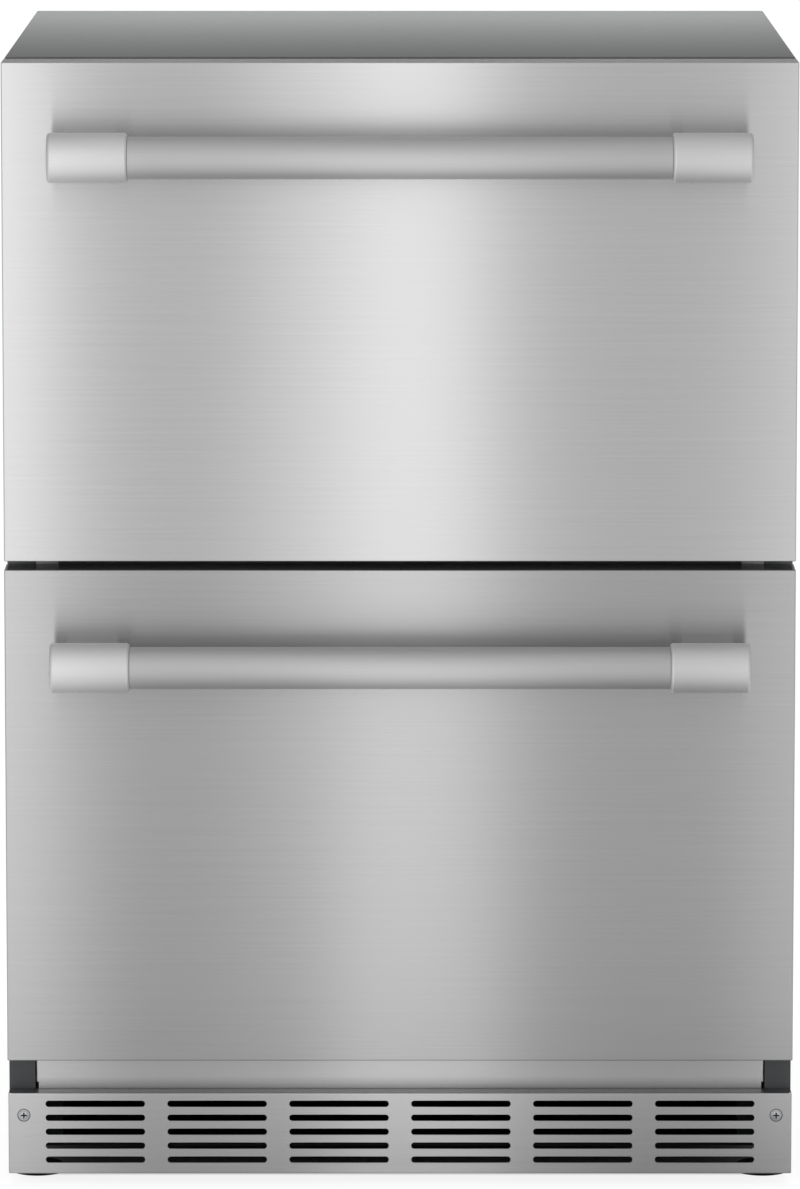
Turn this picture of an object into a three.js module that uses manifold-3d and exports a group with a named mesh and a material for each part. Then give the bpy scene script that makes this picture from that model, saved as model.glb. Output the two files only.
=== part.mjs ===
// Undercounter drawer refrigerator: two insulated drawers in a foamed steel cabinet, with the
// cooling circuit in a machine space low at the back and a vented toe grille below the drawers.
// Millimetres. +Z is up, +X is to the right of someone facing the drawers, and the drawers face -Y.
// The origin is on the floor, in the middle of the whole object from handles to back panel.

import * as THREE from 'three';
import { mergeVertices } from 'three/addons/utils/BufferGeometryUtils.js';
import Module from 'manifold-3d';

const wasm = await Module();
wasm.setup();

// ---- Driving dimensions ----
// A depth or setback runs back from the drawer faces, a back distance forward from the cabinet's back,
// an inset in from the nearest side, and a rise or base up from what the piece stands over.

// Fits
const seat = 0.3; // between pieces that are fastened to each other
const running = 0.4; // between pieces that slide or turn on each other
const bendRadius = 1.5; // outside radius of the folded steel edges

// Cabinet shell, insulation and inner liner
const cabinetWidth = 606;
const cabinetDepth = 600;
const shellSheet = 1;
const shellBase = 22;
const shellFlange = 22;
const linerSheet = 1.5;
const sideFoam = 36;
const topFoam = 38;
const floorFoam = 38;
const backFoam = 34;
const floorPanelBase = 100;
const mullionHeight = 60;
const mullionDepth = 50;
const mullionSheet = 1.5;

// Drawer fronts
const frontBase = 99.8;
const frontHeight = 382;
const frontGap = 6.7;
const topReveal = 0.5;
const skinSheet = 1;
const returnDepth = 38;
const frontLinerInset = 3;
const gasketDepth = 12.4;
const gasketWidth = 14;
const gasketSideInset = 19;
const gasketEndInset = 12;
const gasketSeamInset = 4.5;
const plateauGap = 3;

// Handles
const handleInset = 36.6;
const barDiameter = 32;
const barWall = 2;
const capHeight = 38;
const capLength = 61;
const capEdge = 2;
const capSocket = 15;
const neckHeight = 22;
const neckInset = 10;
const barStandoff = 45;
const handleDrop = 69;

// Bins and their slides
const binSheet = 2;
const binGap = 5;
const binHeadroom = 31;
const binRearGap = 12;
const slideHeight = 46;
const slideWidth = 12.7;
const slideSheet = 1.2;
const slideSetback = 8;
const slideRearGap = 6;
const upperSlideRise = 80;
const lowerSlideRise = 7;

// Toe grille, its posts and the trim above it
const grilleBase = 9;
const grilleHeight = 63.4;
const grilleSetback = 9.5;
const grilleSheet = 1.2;
const grilleFlange = 19.6;
const slotLength = 77;
const slotHeight = 5.1;
const slotColumns = 6;
const slotRows = 5;
const slotColumnPitch = 94.3;
const slotRowPitch = 11;
const slotRise = 33;
const grilleLip = 2;
const postWidth = 20.2;
const postTop = 96;
const trimSheet = 1.2;
const ledgeSheet = 2;
const ledgeChamfer = 3;
const reliefWidth = 2.3;
const reliefHeight = 5;
const screwInset = 12;
const screwRise = 46;
const screwShank = 4;
const screwHead = 9;
const screwLength = 30;
const dimpleDiameter = 10;
const dimpleDepth = 1;

// Base pan and levelling legs
const panSheet = 1.5;
const panFlange = 26;
const legInset = 20.5;
const frontLegDepth = 62;
const rearLegBack = 55;
const legDiscDiameter = 40;
const legDiscHeight = 7;
const legStud = 10;
const legStudLength = 55;
const nutHeight = 10;
const nutWidth = 15;

// Machine space and what stands in it
const machineBack = 230;
const machineTop = 300;
const coverRecess = 5;
const ventLength = 110;
const ventHeight = 7;
const ventColumns = 3;
const ventRows = 5;
const ventColumnPitch = 150;
const ventRowPitch = 16;
const ventRise = 40;
const compressorInset = 173;
const compressorBack = 110;
const compressorDiameter = 150;
const compressorHeight = 170;
const compressorFoot = 16;
const stubHeight = 8;
const stubOffset = 34;
const condenserInset = 138;
const condenserWidth = 210;
const condenserHeight = 165;
const condenserBack = 195;
const condenserFins = 6;
const finSheet = 1;
const finDepth = 32;
const pipeDiameter = 8;
const liquidDiameter = 6;
const drierDiameter = 20;
const drierLength = 90;
const drierDrop = 40;
const fanDiameter = 140;
const fanSpan = 16;
const shroudSize = 170;
const shroudBack = 152;
const shroudSheet = 2;
const fanShaft = 6;
const fanHub = 40;
const fanBlades = 5;
const bladeSheet = 1.6;
const bladePitch = Math.PI / 9;
const motorDiameter = 50;
const motorLength = 30;
const trayHeight = 28;
const trayDepth = 60;
const traySheet = 2;
const inletInset = 68;
const inletRise = 150;
const inletWidth = 50;
const inletHeight = 28;
const inletEar = 9;
const inletLip = 2;
const inletFlange = 2;
const inletWall = 2;
const inletDepth = 22;
const inletWell = 18;
const inletBlade = 10;
const inletBladePlaces = [[-7, -2], [7, -2], [0, 2]];

// Evaporator, its cover and fan
const coolCoverBack = 100;
const coverSheet = 2;
const returnLength = 60;
const returnHeight = 8;
const returnSlots = 5;
const returnPitch = 90;
const returnRise = 24;
const evaporatorBase = 400;
const evaporatorHeight = 180;
const evaporatorWidth = 380;
const evaporatorFins = 6;
const coilBack = 70;
const coolFanDrop = 100;
const coolFanDiameter = 80;
const coolFanSpan = 12;
const coolFanHub = 30;
const lineX = 60;
const linePitch = 40;
const lineHole = 14;

// Controls and light under the ceiling of the liner
const controlSetback = 14;
const controlWidth = 220;
const controlDepth = 34;
const controlHeight = 16;
const lampWidth = 380;
const lampDepth = 16;
const lampHeight = 8;

// ---- Sizes that follow from the driving dimensions ----

const half = cabinetWidth / 2;
const reach = barStandoff + capHeight / 2;
const faceY = (reach - cabinetDepth) / 2;
const backY = faceY + cabinetDepth;
const behind = (depth) => faceY + depth;

const sealDepth = returnDepth + linerSheet + gasketDepth + 3 * seat;
const sealY = behind(sealDepth);
const seamBase = frontBase + frontHeight;
const cabinetTop = seamBase + frontGap + frontHeight + topReveal;
const mullionBase = seamBase + frontGap / 2 - mullionHeight / 2;
const mullionTop = mullionBase + mullionHeight;

const shellInside = half - shellSheet - seat;
const linerOutside = shellInside - sideFoam - seat;
const linerInside = linerOutside - linerSheet;
const cavityTop = cabinetTop - shellSheet - topFoam - 2 * seat - linerSheet;
const cavityFloor = floorPanelBase + shellSheet + floorFoam + 2 * seat + linerSheet;
const cavityBack = backY - shellSheet - backFoam - 2 * seat - linerSheet;
const humpTop = machineTop + shellSheet + floorFoam + 2 * seat + linerSheet;
const coolFanZ = cavityTop - coolFanDrop;
const humpFront = backY - machineBack - shellSheet - floorFoam - 2 * seat - linerSheet;
const panTop = shellBase + panSheet;
const machineY = backY - machineBack;
const coolCoverY = backY - coolCoverBack;
const coverY = backY - coverRecess;
const lineY = backY - coilBack;
const compressorX = half - compressorInset;
const condenserX = condenserInset - half;
const inletX = inletInset - half;
const inletZ = shellBase + inletRise;

// ---- Helpers ----

// A closed three.js geometry as a solid that can be joined and cut.
function solid(geometry) {
  geometry.deleteAttribute('normal');
  geometry.deleteAttribute('uv');
  const merged = mergeVertices(geometry, 1e-4);
  return new wasm.Manifold(new wasm.Mesh({
    numProp: 3,
    vertProperties: merged.attributes.position.array,
    triVerts: Uint32Array.from(merged.index.array),
  }));
}

// A block between two values along each axis.
function block(xs, ys, zs) {
  const geometry = new THREE.BoxGeometry(xs[1] - xs[0], ys[1] - ys[0], zs[1] - zs[0]);
  geometry.translate((xs[0] + xs[1]) / 2, (ys[0] + ys[1]) / 2, (zs[0] + zs[1]) / 2);
  return solid(geometry);
}

const span = (halfWidth) => [-halfWidth, halfWidth];

function outline(points) {
  return new THREE.Shape(points.map(([x, y]) => new THREE.Vector2(x, y)));
}

function rectangle(us, vs) {
  return outline([[us[0], vs[0]], [us[1], vs[0]], [us[1], vs[1]], [us[0], vs[1]]]);
}

// A shape drawn in Y and Z, extruded from x0 to x1, with its ends rounded over if edge is given.
function alongX(shape, x0, x1, edge = 0, curveSegments = 8) {
  const geometry = new THREE.ExtrudeGeometry(shape, {
    depth: x1 - x0 - 2 * edge,
    curveSegments,
    bevelEnabled: edge > 0,
    bevelThickness: edge,
    bevelSize: edge,
    bevelOffset: -edge,
    bevelSegments: 2,
  });
  geometry.translate(0, 0, x0 + edge);
  geometry.applyMatrix4(new THREE.Matrix4().makeBasis(
    new THREE.Vector3(0, 1, 0),
    new THREE.Vector3(0, 0, 1),
    new THREE.Vector3(1, 0, 0),
  ));
  return solid(geometry);
}

// A shape drawn in X and Z, extruded from y0 back to y1, with its front edges rounded over if edge is given.
function alongY(shape, y0, y1, edge = 0, curveSegments = 2) {
  const geometry = new THREE.ExtrudeGeometry(shape, {
    depth: y1 - y0 - 2 * edge,
    curveSegments,
    bevelEnabled: edge > 0,
    bevelThickness: edge,
    bevelSize: edge,
    bevelOffset: -edge,
    bevelSegments: 2,
  });
  geometry.translate(0, 0, edge - y1);
  geometry.applyMatrix4(new THREE.Matrix4().makeBasis(
    new THREE.Vector3(1, 0, 0),
    new THREE.Vector3(0, 0, 1),
    new THREE.Vector3(0, -1, 0),
  ));
  return solid(geometry);
}

// A shape drawn in X and Y, extruded up from z0 to z1.
function alongZ(shape, z0, z1, curveSegments = 2) {
  const geometry = new THREE.ExtrudeGeometry(shape, { depth: z1 - z0, curveSegments, bevelEnabled: false });
  geometry.translate(0, 0, z0);
  return solid(geometry);
}

const turns = {
  x: new THREE.Matrix4().makeRotationZ(-Math.PI / 2),
  y: new THREE.Matrix4(),
  z: new THREE.Matrix4().makeRotationX(Math.PI / 2),
};

// A round bar of the given diameter whose axis runs along x, y or z from start to end.
function bar(axis, diameter, start, end, centre, sides = 16) {
  const geometry = new THREE.CylinderGeometry(diameter / 2, diameter / 2, end - start, sides);
  geometry.applyMatrix4(turns[axis]);
  const place = new THREE.Vector3(...centre);
  place[axis] = (start + end) / 2;
  geometry.translate(place.x, place.y, place.z);
  return solid(geometry);
}

// A turned piece about a vertical axis: its profile is [radius, height] pairs from axis to axis.
function turned(profile, x, y, sides = 12) {
  const points = profile.map(([radius, height]) => new THREE.Vector2(radius, height));
  const geometry = new THREE.LatheGeometry(points, sides);
  geometry.applyMatrix4(turns.z);
  geometry.translate(x, y, 0);
  return solid(geometry);
}

// A route of straight stretches through given points, each stretch one step of the sweep.
class Route extends THREE.Curve {
  constructor(points) {
    super();
    this.points = points;
  }

  getUtoTmapping(u) {
    return u;
  }

  getPoint(t, target = new THREE.Vector3()) {
    const place = Math.min(Math.max(t, 0), 1) * (this.points.length - 1);
    const index = Math.min(Math.floor(place), this.points.length - 2);
    return target.lerpVectors(this.points[index], this.points[index + 1], place - index);
  }
}

// Rounds each inner corner of a route, starting the given length before it, with three chords.
function rounded(corners, easing) {
  const points = corners.map((corner) => new THREE.Vector3(...corner));
  const route = [points[0]];
  for (let i = 1; i < points.length - 1; i += 1) {
    const toLast = points[i - 1].clone().sub(points[i]).normalize();
    const toNext = points[i + 1].clone().sub(points[i]).normalize();
    const start = points[i].clone().addScaledVector(toLast, easing);
    const end = points[i].clone().addScaledVector(toNext, easing);
    const bend = new THREE.QuadraticBezierCurve3(start, points[i], end);
    route.push(...bend.getPoints(3));
  }
  route.push(points[points.length - 1]);
  return route;
}

function pipe(route, diameter, sides = 6) {
  const circle = new THREE.Shape().absarc(0, 0, diameter / 2, 0, 2 * Math.PI);
  const geometry = new THREE.ExtrudeGeometry(circle, {
    steps: route.length - 1,
    curveSegments: sides / 2,
    extrudePath: new Route(route),
  });
  return solid(geometry);
}

const group = new THREE.Group();

// Puts a finished solid into the group as a named piece.
function piece(name, body, material) {
  const mesh = body.getMesh();
  const geometry = new THREE.BufferGeometry();
  geometry.setAttribute('position', new THREE.BufferAttribute(mesh.vertProperties, 3));
  geometry.setIndex(new THREE.BufferAttribute(mesh.triVerts, 1));
  geometry.computeVertexNormals();
  const result = new THREE.Mesh(geometry, material);
  result.name = name;
  group.add(result);
}

function finish(color, roughness, metalness) {
  return new THREE.MeshStandardMaterial({ color, roughness, metalness });
}

const stainless = finish(0xc4c4c4, 0.3, 1);
const satinSteel = finish(0xc9cacb, 0.35, 1);
const coatedSteel = finish(0x86898a, 0.5, 0.4);
const zincSteel = finish(0xb3b6b8, 0.4, 1);
const darkSteel = finish(0x45484a, 0.6, 0.3);
const foam = finish(0xe6d7a4, 0.95, 0);
const linerPlastic = finish(0xf2f3f3, 0.4, 0);
const binPlastic = finish(0xe9edef, 0.3, 0);
const gasketRubber = finish(0x3c3e40, 0.8, 0);
const blackPlastic = finish(0x1c1d1e, 0.5, 0);
const copper = finish(0xb87333, 0.35, 1);
const finAluminium = finish(0xc8cccf, 0.4, 1);
const lampLens = finish(0xf6f7f2, 0.4, 0);

// ---- Cabinet ----

// Folded steel shell: top and two sides in one sheet, with a flange turned in round the opening.
function outerShell() {
  const wrap = block(span(half), [sealY, backY], [shellBase, cabinetTop])
    .subtract(block(span(half - shellSheet), [sealY - 1, backY + 1], [0, cabinetTop - shellSheet]));
  const flange = block(span(half), [sealY, sealY + shellSheet], [postTop + 1, cabinetTop])
    .subtract(block(span(half - shellFlange), [sealY - 1, backY], [0, cabinetTop - shellFlange]));
  return wrap.add(flange);
}
piece('outer_shell', outerShell(), coatedSteel);

// Painted steel panel under the insulation, stepped up over the machine space.
function steppedPanel() {
  const front = sealY + linerSheet + seat;
  const rear = backY - shellSheet - seat;
  return outline([
    [front, floorPanelBase],
    [machineY, floorPanelBase],
    [machineY, machineTop],
    [rear, machineTop],
    [rear, machineTop + shellSheet],
    [machineY - shellSheet, machineTop + shellSheet],
    [machineY - shellSheet, floorPanelBase + shellSheet],
    [front, floorPanelBase + shellSheet],
  ]);
}
const linePassage = bar('z', lineHole, machineTop - 5, humpTop + 5, [lineX, lineY, 0], 12)
  .add(bar('z', lineHole, machineTop - 5, humpTop + 5, [lineX - linePitch, lineY, 0], 12));
piece(
  'step_panel',
  alongX(steppedPanel(), -shellInside, shellInside).subtract(linePassage),
  darkSteel,
);

// The profile of the liner's inside, in Y and Z, grown by a wall when the outside is wanted.
function cavity(grow, front) {
  return outline([
    [front, cavityFloor - grow],
    [humpFront + grow, cavityFloor - grow],
    [humpFront + grow, humpTop - grow],
    [cavityBack + grow, humpTop - grow],
    [cavityBack + grow, cavityTop + grow],
    [front, cavityTop + grow],
  ]);
}

// Rigid foam poured between shell, stepped panel and liner.
function cabinetFoam() {
  const front = sealY + linerSheet + seat;
  const floor = floorPanelBase + shellSheet + seat;
  const whole = block(
    span(shellInside),
    [front, backY - shellSheet - seat],
    [floor, cabinetTop - shellSheet - seat],
  );
  const inside = alongX(cavity(linerSheet + seat, front - 1), -linerOutside - seat, linerOutside + seat);
  const machine = block(
    span(half),
    [machineY - shellSheet - seat, backY],
    [0, machineTop + shellSheet + seat],
  );
  return whole.subtract(inside).subtract(machine).subtract(linePassage);
}
piece('cabinet_foam', cabinetFoam(), foam);

// White liner: a stepped box open at the front, with a flange that laps inside the shell's flange.
function cabinetLiner() {
  const box = alongX(cavity(linerSheet, sealY), -linerOutside, linerOutside);
  const flange = block(
    span(half - shellFlange - seat),
    [sealY, sealY + linerSheet],
    [floorPanelBase, cabinetTop - shellFlange - seat],
  );
  const inside = alongX(cavity(0, sealY - 1), -linerInside, linerInside);
  return box.add(flange).subtract(inside).subtract(linePassage);
}
piece('cabinet_liner', cabinetLiner(), linerPlastic);

// Folded steel crossbar between the drawers, open to the back, which both gaskets close on.
const mullionChannel = [
  [sealY, mullionBase],
  [sealY + mullionDepth, mullionBase],
  [sealY + mullionDepth, mullionBase + mullionSheet],
  [sealY + mullionSheet, mullionBase + mullionSheet],
  [sealY + mullionSheet, mullionTop - mullionSheet],
  [sealY + mullionDepth, mullionTop - mullionSheet],
  [sealY + mullionDepth, mullionTop],
  [sealY, mullionTop],
];
piece(
  'mullion',
  alongX(outline(mullionChannel), -linerInside + seat, linerInside - seat),
  coatedSteel,
);

// Flat steel back above the machine space, set into the shell.
piece(
  'back_panel',
  block(span(shellInside), [backY - shellSheet, backY], [machineTop, cabinetTop - shellSheet - seat]),
  zincSteel,
);

// Louvred cover of the machine space, set in from the back so that the inlet stays inside the cabinet.
function machineCover() {
  const top = machineTop - seat;
  const plate = block(span(shellInside), [coverY - shellSheet, coverY], [panTop + seat, top]);
  const lip = block(span(shellInside), [coverY - shellSheet, backY], [top - shellSheet, top]);
  let cover = plate.add(lip);
  const slot = alongY(stadium(ventLength, ventHeight), coverY - shellSheet - 1, coverY + 1);
  for (let column = 0; column < ventColumns; column += 1) {
    for (let row = 0; row < ventRows; row += 1) {
      const x = inletX + ventColumnPitch * (column + 1) - ventLength / 2 + inletWidth / 2;
      cover = cover.subtract(slot.translate([x, 0, shellBase + ventRise + row * ventRowPitch]));
    }
  }
  const hole = block(
    [inletX - inletWidth / 2 + inletEar, inletX + inletWidth / 2 - inletEar],
    [coverY - shellSheet - 1, coverY + 1],
    [inletZ - inletHeight / 2 + inletLip, inletZ + inletHeight / 2 - inletLip],
  );
  return cover.subtract(hole);
}

// A slot's outline: straight sides and round ends, centred on its own middle.
function stadium(length, height) {
  const shape = new THREE.Shape();
  const radius = height / 2;
  const straight = length / 2 - radius;
  shape.absarc(straight, 0, radius, -Math.PI / 2, Math.PI / 2);
  shape.absarc(-straight, 0, radius, Math.PI / 2, Math.PI * 1.5);
  return shape;
}
piece('machine_cover', machineCover(), zincSteel);

// Appliance inlet: a flanged well with three contact blades.
function powerInlet() {
  const xs = [inletX - inletWidth / 2, inletX + inletWidth / 2];
  const zs = [inletZ - inletHeight / 2, inletZ + inletHeight / 2];
  const flangeY = coverY + seat;
  const flange = block(xs, [flangeY, flangeY + inletFlange], zs);
  const bodyXs = [xs[0] + inletEar + seat, xs[1] - inletEar - seat];
  const bodyZs = [zs[0] + inletLip + seat, zs[1] - inletLip - seat];
  const body = block(bodyXs, [coverY - inletDepth, flangeY + inletFlange / 2], bodyZs);
  const floorY = coverY - inletWell;
  const well = block(
    [bodyXs[0] + inletWall, bodyXs[1] - inletWall],
    [floorY, coverY + inletDepth],
    [bodyZs[0] + inletWall, bodyZs[1] - inletWall],
  );
  let inlet = flange.add(body).subtract(well);
  for (const [dx, dz] of inletBladePlaces) {
    inlet = inlet.add(block(
      [inletX + dx - 1, inletX + dx + 1],
      [floorY - 1, floorY + inletBlade],
      [inletZ + dz - 2, inletZ + dz + 2],
    ));
  }
  return inlet;
}
piece('power_inlet', powerInlet(), blackPlastic);

// Pressed base pan with side flanges, front corner flanges and a welded nut over each leg.
const legPlaces = [
  ['front_left', -half + legInset, behind(frontLegDepth)],
  ['front_right', half - legInset, behind(frontLegDepth)],
  ['rear_left', -half + legInset, backY - rearLegBack],
  ['rear_right', half - legInset, backY - rearLegBack],
];
function basePan() {
  const front = sealY + seat;
  const rear = coverY - shellSheet - seat;
  const outer = shellInside;
  const inner = shellInside - panSheet;
  const flangeTop = shellBase + panFlange;
  let pan = alongY(outline([
    [-outer, shellBase], [outer, shellBase], [outer, flangeTop], [inner, flangeTop],
    [inner, panTop], [-inner, panTop], [-inner, flangeTop], [-outer, flangeTop],
  ]), front, rear);
  for (const side of [-1, 1]) {
    const corner = [side * (outer - seat), side * (half - 2 * postWidth)].sort((a, b) => a - b);
    const plate = [front + seat, front + seat + panSheet];
    pan = pan.add(block(corner, plate, [shellBase + seat, postTop]));
  }
  for (const [, x, y] of legPlaces) {
    pan = pan.add(bar('z', nutWidth, shellBase + seat, panTop + nutHeight, [x, y, 0], 6));
    pan = pan.subtract(bar('z', legStud + 2 * running, 0, postTop, [x, y, 0], 12));
  }
  return pan;
}
piece('base_pan', basePan(), darkSteel);

// Levelling legs: a disc foot with a threaded stud, screwed right in.
for (const [place, x, y] of legPlaces) {
  const disc = legDiscDiameter / 2;
  const stud = legStud / 2;
  piece(`leg_${place}`, turned([
    [0, 0], [disc - 1, 0], [disc, 1], [disc, legDiscHeight - 1.5], [disc - 1.5, legDiscHeight],
    [stud + 2, legDiscHeight], [stud + 2, legDiscHeight + 6], [stud, legDiscHeight + 6],
    [stud, legStudLength - 1], [stud - 1, legStudLength], [0, legStudLength],
  ], x, y), darkSteel);
}

// ---- Toe grille, posts and trim ----

const grilleY = behind(grilleSetback);
const postY = grilleY + grilleFlange + seat;
const ledgeY = grilleY + grilleLip + seat;
const ledgeTop = grilleBase + grilleHeight;
const screwZ = grilleBase + screwRise;
const screwHoleY = grilleY + dimpleDepth + grilleSheet;

// Moulded corner post with a ledge over the grille, its outer corner cut off, and a boss that reaches
// forward to the back of the grille's screw dimple.
function cornerPost(side) {
  const inner = side * (half - postWidth);
  const outer = side * half;
  const xs = [inner, outer].sort((a, b) => a - b);
  const screwX = side * (half - screwInset);
  const post = alongY(rectangle(xs, [shellBase, postTop]), postY, sealY - seat);
  const ledgeStart = inner + side * seat;
  const ledgeEnd = outer - side * (grilleSheet + seat);
  const ledge = alongZ(outline([
    [ledgeStart, postY + 1],
    [ledgeStart, ledgeY],
    [ledgeEnd - side * ledgeChamfer, ledgeY],
    [ledgeEnd, ledgeY + ledgeChamfer],
    [ledgeEnd, postY + 1],
  ]), ledgeTop - ledgeSheet, ledgeTop);
  const boss = bar('y', dimpleDiameter, screwHoleY + seat, postY + 1, [screwX, 0, screwZ], 12);
  const pilot = bar('y', screwShank + 2 * seat, grilleY, grilleY + screwLength + 2, [screwX, 0, screwZ], 10);
  return post.add(ledge).add(boss).subtract(pilot);
}
piece('corner_post_left', cornerPost(-1), darkSteel);
piece('corner_post_right', cornerPost(1), darkSteel);

// Stainless strip between the posts, bent forward into a ledge over the grille and back at its ends,
// with a relief cut in each corner where the two bends would meet.
function railTrim() {
  const width = half - postWidth - seat;
  const back = sealY - seat;
  const bendX = width - reliefWidth;
  const bendY = postY + reliefWidth;
  const inside = reliefWidth - trimSheet;
  const section = new THREE.Shape();
  section.moveTo(width, back);
  section.lineTo(width, bendY);
  section.absarc(bendX, bendY, reliefWidth, 0, -Math.PI / 2, true);
  section.absarc(-bendX, bendY, reliefWidth, -Math.PI / 2, -Math.PI, true);
  section.lineTo(-width, back);
  section.lineTo(-width + trimSheet, back);
  section.absarc(-bendX, bendY, inside, -Math.PI, -Math.PI / 2, false);
  section.absarc(bendX, bendY, inside, -Math.PI / 2, 0, false);
  section.lineTo(width - trimSheet, back);
  section.closePath();
  let strip = alongZ(section, ledgeTop - trimSheet / 2, postTop);
  for (const side of [-1, 1]) {
    const xs = [side * bendX, side * (width + 1)].sort((a, b) => a - b);
    strip = strip.subtract(block(xs, [postY - 1, sealY], [ledgeTop - ledgeSheet, ledgeTop + reliefHeight]));
  }
  const ledge = block(span(width), [ledgeY, postY + trimSheet / 2], [ledgeTop - trimSheet, ledgeTop]);
  return strip.add(ledge);
}
piece('rail_trim', railTrim(), stainless);

// Folded stainless sheet with its edges turned back on all four sides.
function foldedPan(xs, y0, zs, depth, sheet) {
  const blank = alongY(rectangle(xs, zs), y0, y0 + depth + bendRadius, bendRadius);
  const trim = block([xs[0] - 1, xs[1] + 1], [y0 + depth, y0 + depth + 10], [zs[0] - 1, zs[1] + 1]);
  const inside = block(
    [xs[0] + sheet, xs[1] - sheet],
    [y0 + sheet, y0 + depth + 10],
    [zs[0] + sheet, zs[1] - sheet],
  );
  return blank.subtract(trim).subtract(inside);
}

// Toe grille: a folded pan with rows of round-ended slots and a sunk screw seat at each end. Its upper
// edge is turned back by a narrow lip only, because the ledges close it above.
function toeGrille() {
  const zs = [grilleBase, grilleBase + grilleHeight];
  const pan = foldedPan(span(half), grilleY, zs, grilleFlange, grilleSheet);
  let grille = pan.subtract(block(
    span(half - grilleSheet),
    [grilleY + grilleLip, grilleY + grilleFlange + 1],
    [zs[1] - 2 * grilleSheet, zs[1] + 1],
  ));
  const slot = alongY(stadium(slotLength, slotHeight), grilleY - 1, grilleY + grilleSheet + 1);
  const slots = [];
  for (let column = 0; column < slotColumns; column += 1) {
    for (let row = 0; row < slotRows; row += 1) {
      const x = (column - (slotColumns - 1) / 2) * slotColumnPitch;
      const z = grilleBase + slotRise + (row - (slotRows - 1) / 2) * slotRowPitch;
      slots.push(slot.translate([x, 0, z]));
    }
  }
  grille = slots.reduce((left, vent) => left.subtract(vent), grille);
  for (const side of [-1, 1]) {
    const place = [side * (half - screwInset), 0, screwZ];
    const cup = bar('y', dimpleDiameter + 2 * grilleSheet, grilleY + 0.2, screwHoleY, place, 16);
    const sunk = bar('y', dimpleDiameter, grilleY - 1, grilleY + dimpleDepth, place, 16);
    const hole = bar('y', screwShank + 2 * seat, grilleY - 1, screwHoleY + 1, place, 10);
    grille = grille.add(cup).subtract(sunk).subtract(hole);
  }
  return grille;
}
piece('toe_grille', toeGrille(), stainless);

// Cross-recessed pan-head screws that hold the grille to its posts.
for (const [name, side] of [['left', -1], ['right', 1]]) {
  const place = [side * (half - screwInset), 0, screwZ];
  const headSeat = grilleY + dimpleDepth - seat;
  const head = bar('y', screwHead, headSeat - 2, headSeat, place, 16);
  const shank = bar('y', screwShank, headSeat - 0.5, grilleY + screwLength, place, 10);
  const recess = (wide, tall) => block(
    [place[0] - wide, place[0] + wide],
    [headSeat - 3, headSeat - 0.8],
    [screwZ - tall, screwZ + tall],
  );
  piece(
    `grille_screw_${name}`,
    head.add(shank).subtract(recess(0.5, 2.2)).subtract(recess(2.2, 0.5)),
    zincSteel,
  );
}

// ---- Drawers ----

const plateauY = sealY - seat;
const binHalf = linerInside - seat - slideWidth - seat;

// Stainless front skin, its foam core, the white inner panel and the magnetic gasket.
function drawerFront(name, base, lowerInset, upperInset) {
  const xs = span(half);
  const zs = [base, base + frontHeight];
  piece(`${name}_front_skin`, foldedPan(xs, faceY, zs, returnDepth, skinSheet), stainless);

  const coreXs = span(half - skinSheet - seat);
  const coreZs = [zs[0] + skinSheet + seat, zs[1] - skinSheet - seat];
  const coreBack = behind(returnDepth);
  const ringZs = [zs[0] + lowerInset, zs[1] - upperInset];
  const ringHalf = half - gasketSideInset;
  const inner = gasketWidth + plateauGap;
  const plateauXs = span(ringHalf - inner);
  const plateauZs = [ringZs[0] + inner, ringZs[1] - inner];
  const wall = linerSheet + seat;
  const core = block(coreXs, [faceY + skinSheet + seat, coreBack], coreZs).add(block(
    [plateauXs[0] + wall, plateauXs[1] - wall],
    [coreBack - 1, plateauY - wall],
    [plateauZs[0] + wall, plateauZs[1] - wall],
  ));
  piece(`${name}_front_core`, core, foam);

  const panelXs = span(half - frontLinerInset);
  const panelZs = [zs[0] + frontLinerInset, zs[1] - frontLinerInset];
  const panelY = coreBack + seat;
  const panel = block(panelXs, [panelY, panelY + linerSheet], panelZs)
    .add(block(plateauXs, [panelY, plateauY], plateauZs))
    .subtract(block(
      [plateauXs[0] + linerSheet, plateauXs[1] - linerSheet],
      [panelY - 1, plateauY - linerSheet],
      [plateauZs[0] + linerSheet, plateauZs[1] - linerSheet],
    ));
  piece(`${name}_front_liner`, panel, linerPlastic);

  const ringY = [panelY + linerSheet + seat, plateauY];
  const ring = block(span(ringHalf), ringY, ringZs).subtract(block(
    span(ringHalf - gasketWidth),
    [ringY[0] - 1, ringY[1] + 1],
    [ringZs[0] + gasketWidth, ringZs[1] - gasketWidth],
  ));
  piece(`${name}_gasket`, ring, gasketRubber);
}

// Bar handle: a tube held in the sockets of two round end pieces, each on a neck against the front.
function handle(name, base) {
  const z = base + frontHeight - handleDrop;
  const y = faceY - barStandoff;
  const outer = half - handleInset;
  const inner = outer - capLength;
  const barHalf = inner + capSocket - seat;
  const tube = bar('x', barDiameter, -barHalf, barHalf, [0, y, z], 32)
    .subtract(bar('x', barDiameter - 2 * barWall, -outer, outer, [0, y, z], 24));
  piece(`${name}_handle_bar`, tube, satinSteel);
  for (const [place, side] of [['left', -1], ['right', 1]]) {
    const profile = new THREE.Shape();
    profile.absarc(y, z, capHeight / 2, 0, 2 * Math.PI);
    const ends = [side * inner, side * outer].sort((a, b) => a - b);
    const neck = block(
      [ends[0] + neckInset, ends[1] - neckInset],
      [y, faceY - seat],
      [z - neckHeight / 2, z + neckHeight / 2],
    );
    const cap = alongX(profile, ends[0], ends[1], capEdge, 32).add(neck);
    const socket = [side * (inner - 1), side * (inner + capSocket)].sort((a, b) => a - b);
    const bore = bar('x', barDiameter + 2 * seat, socket[0], socket[1], [0, y, z], 32);
    piece(`${name}_handle_cap_${place}`, cap.subtract(bore), satinSteel);
  }
}

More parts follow.
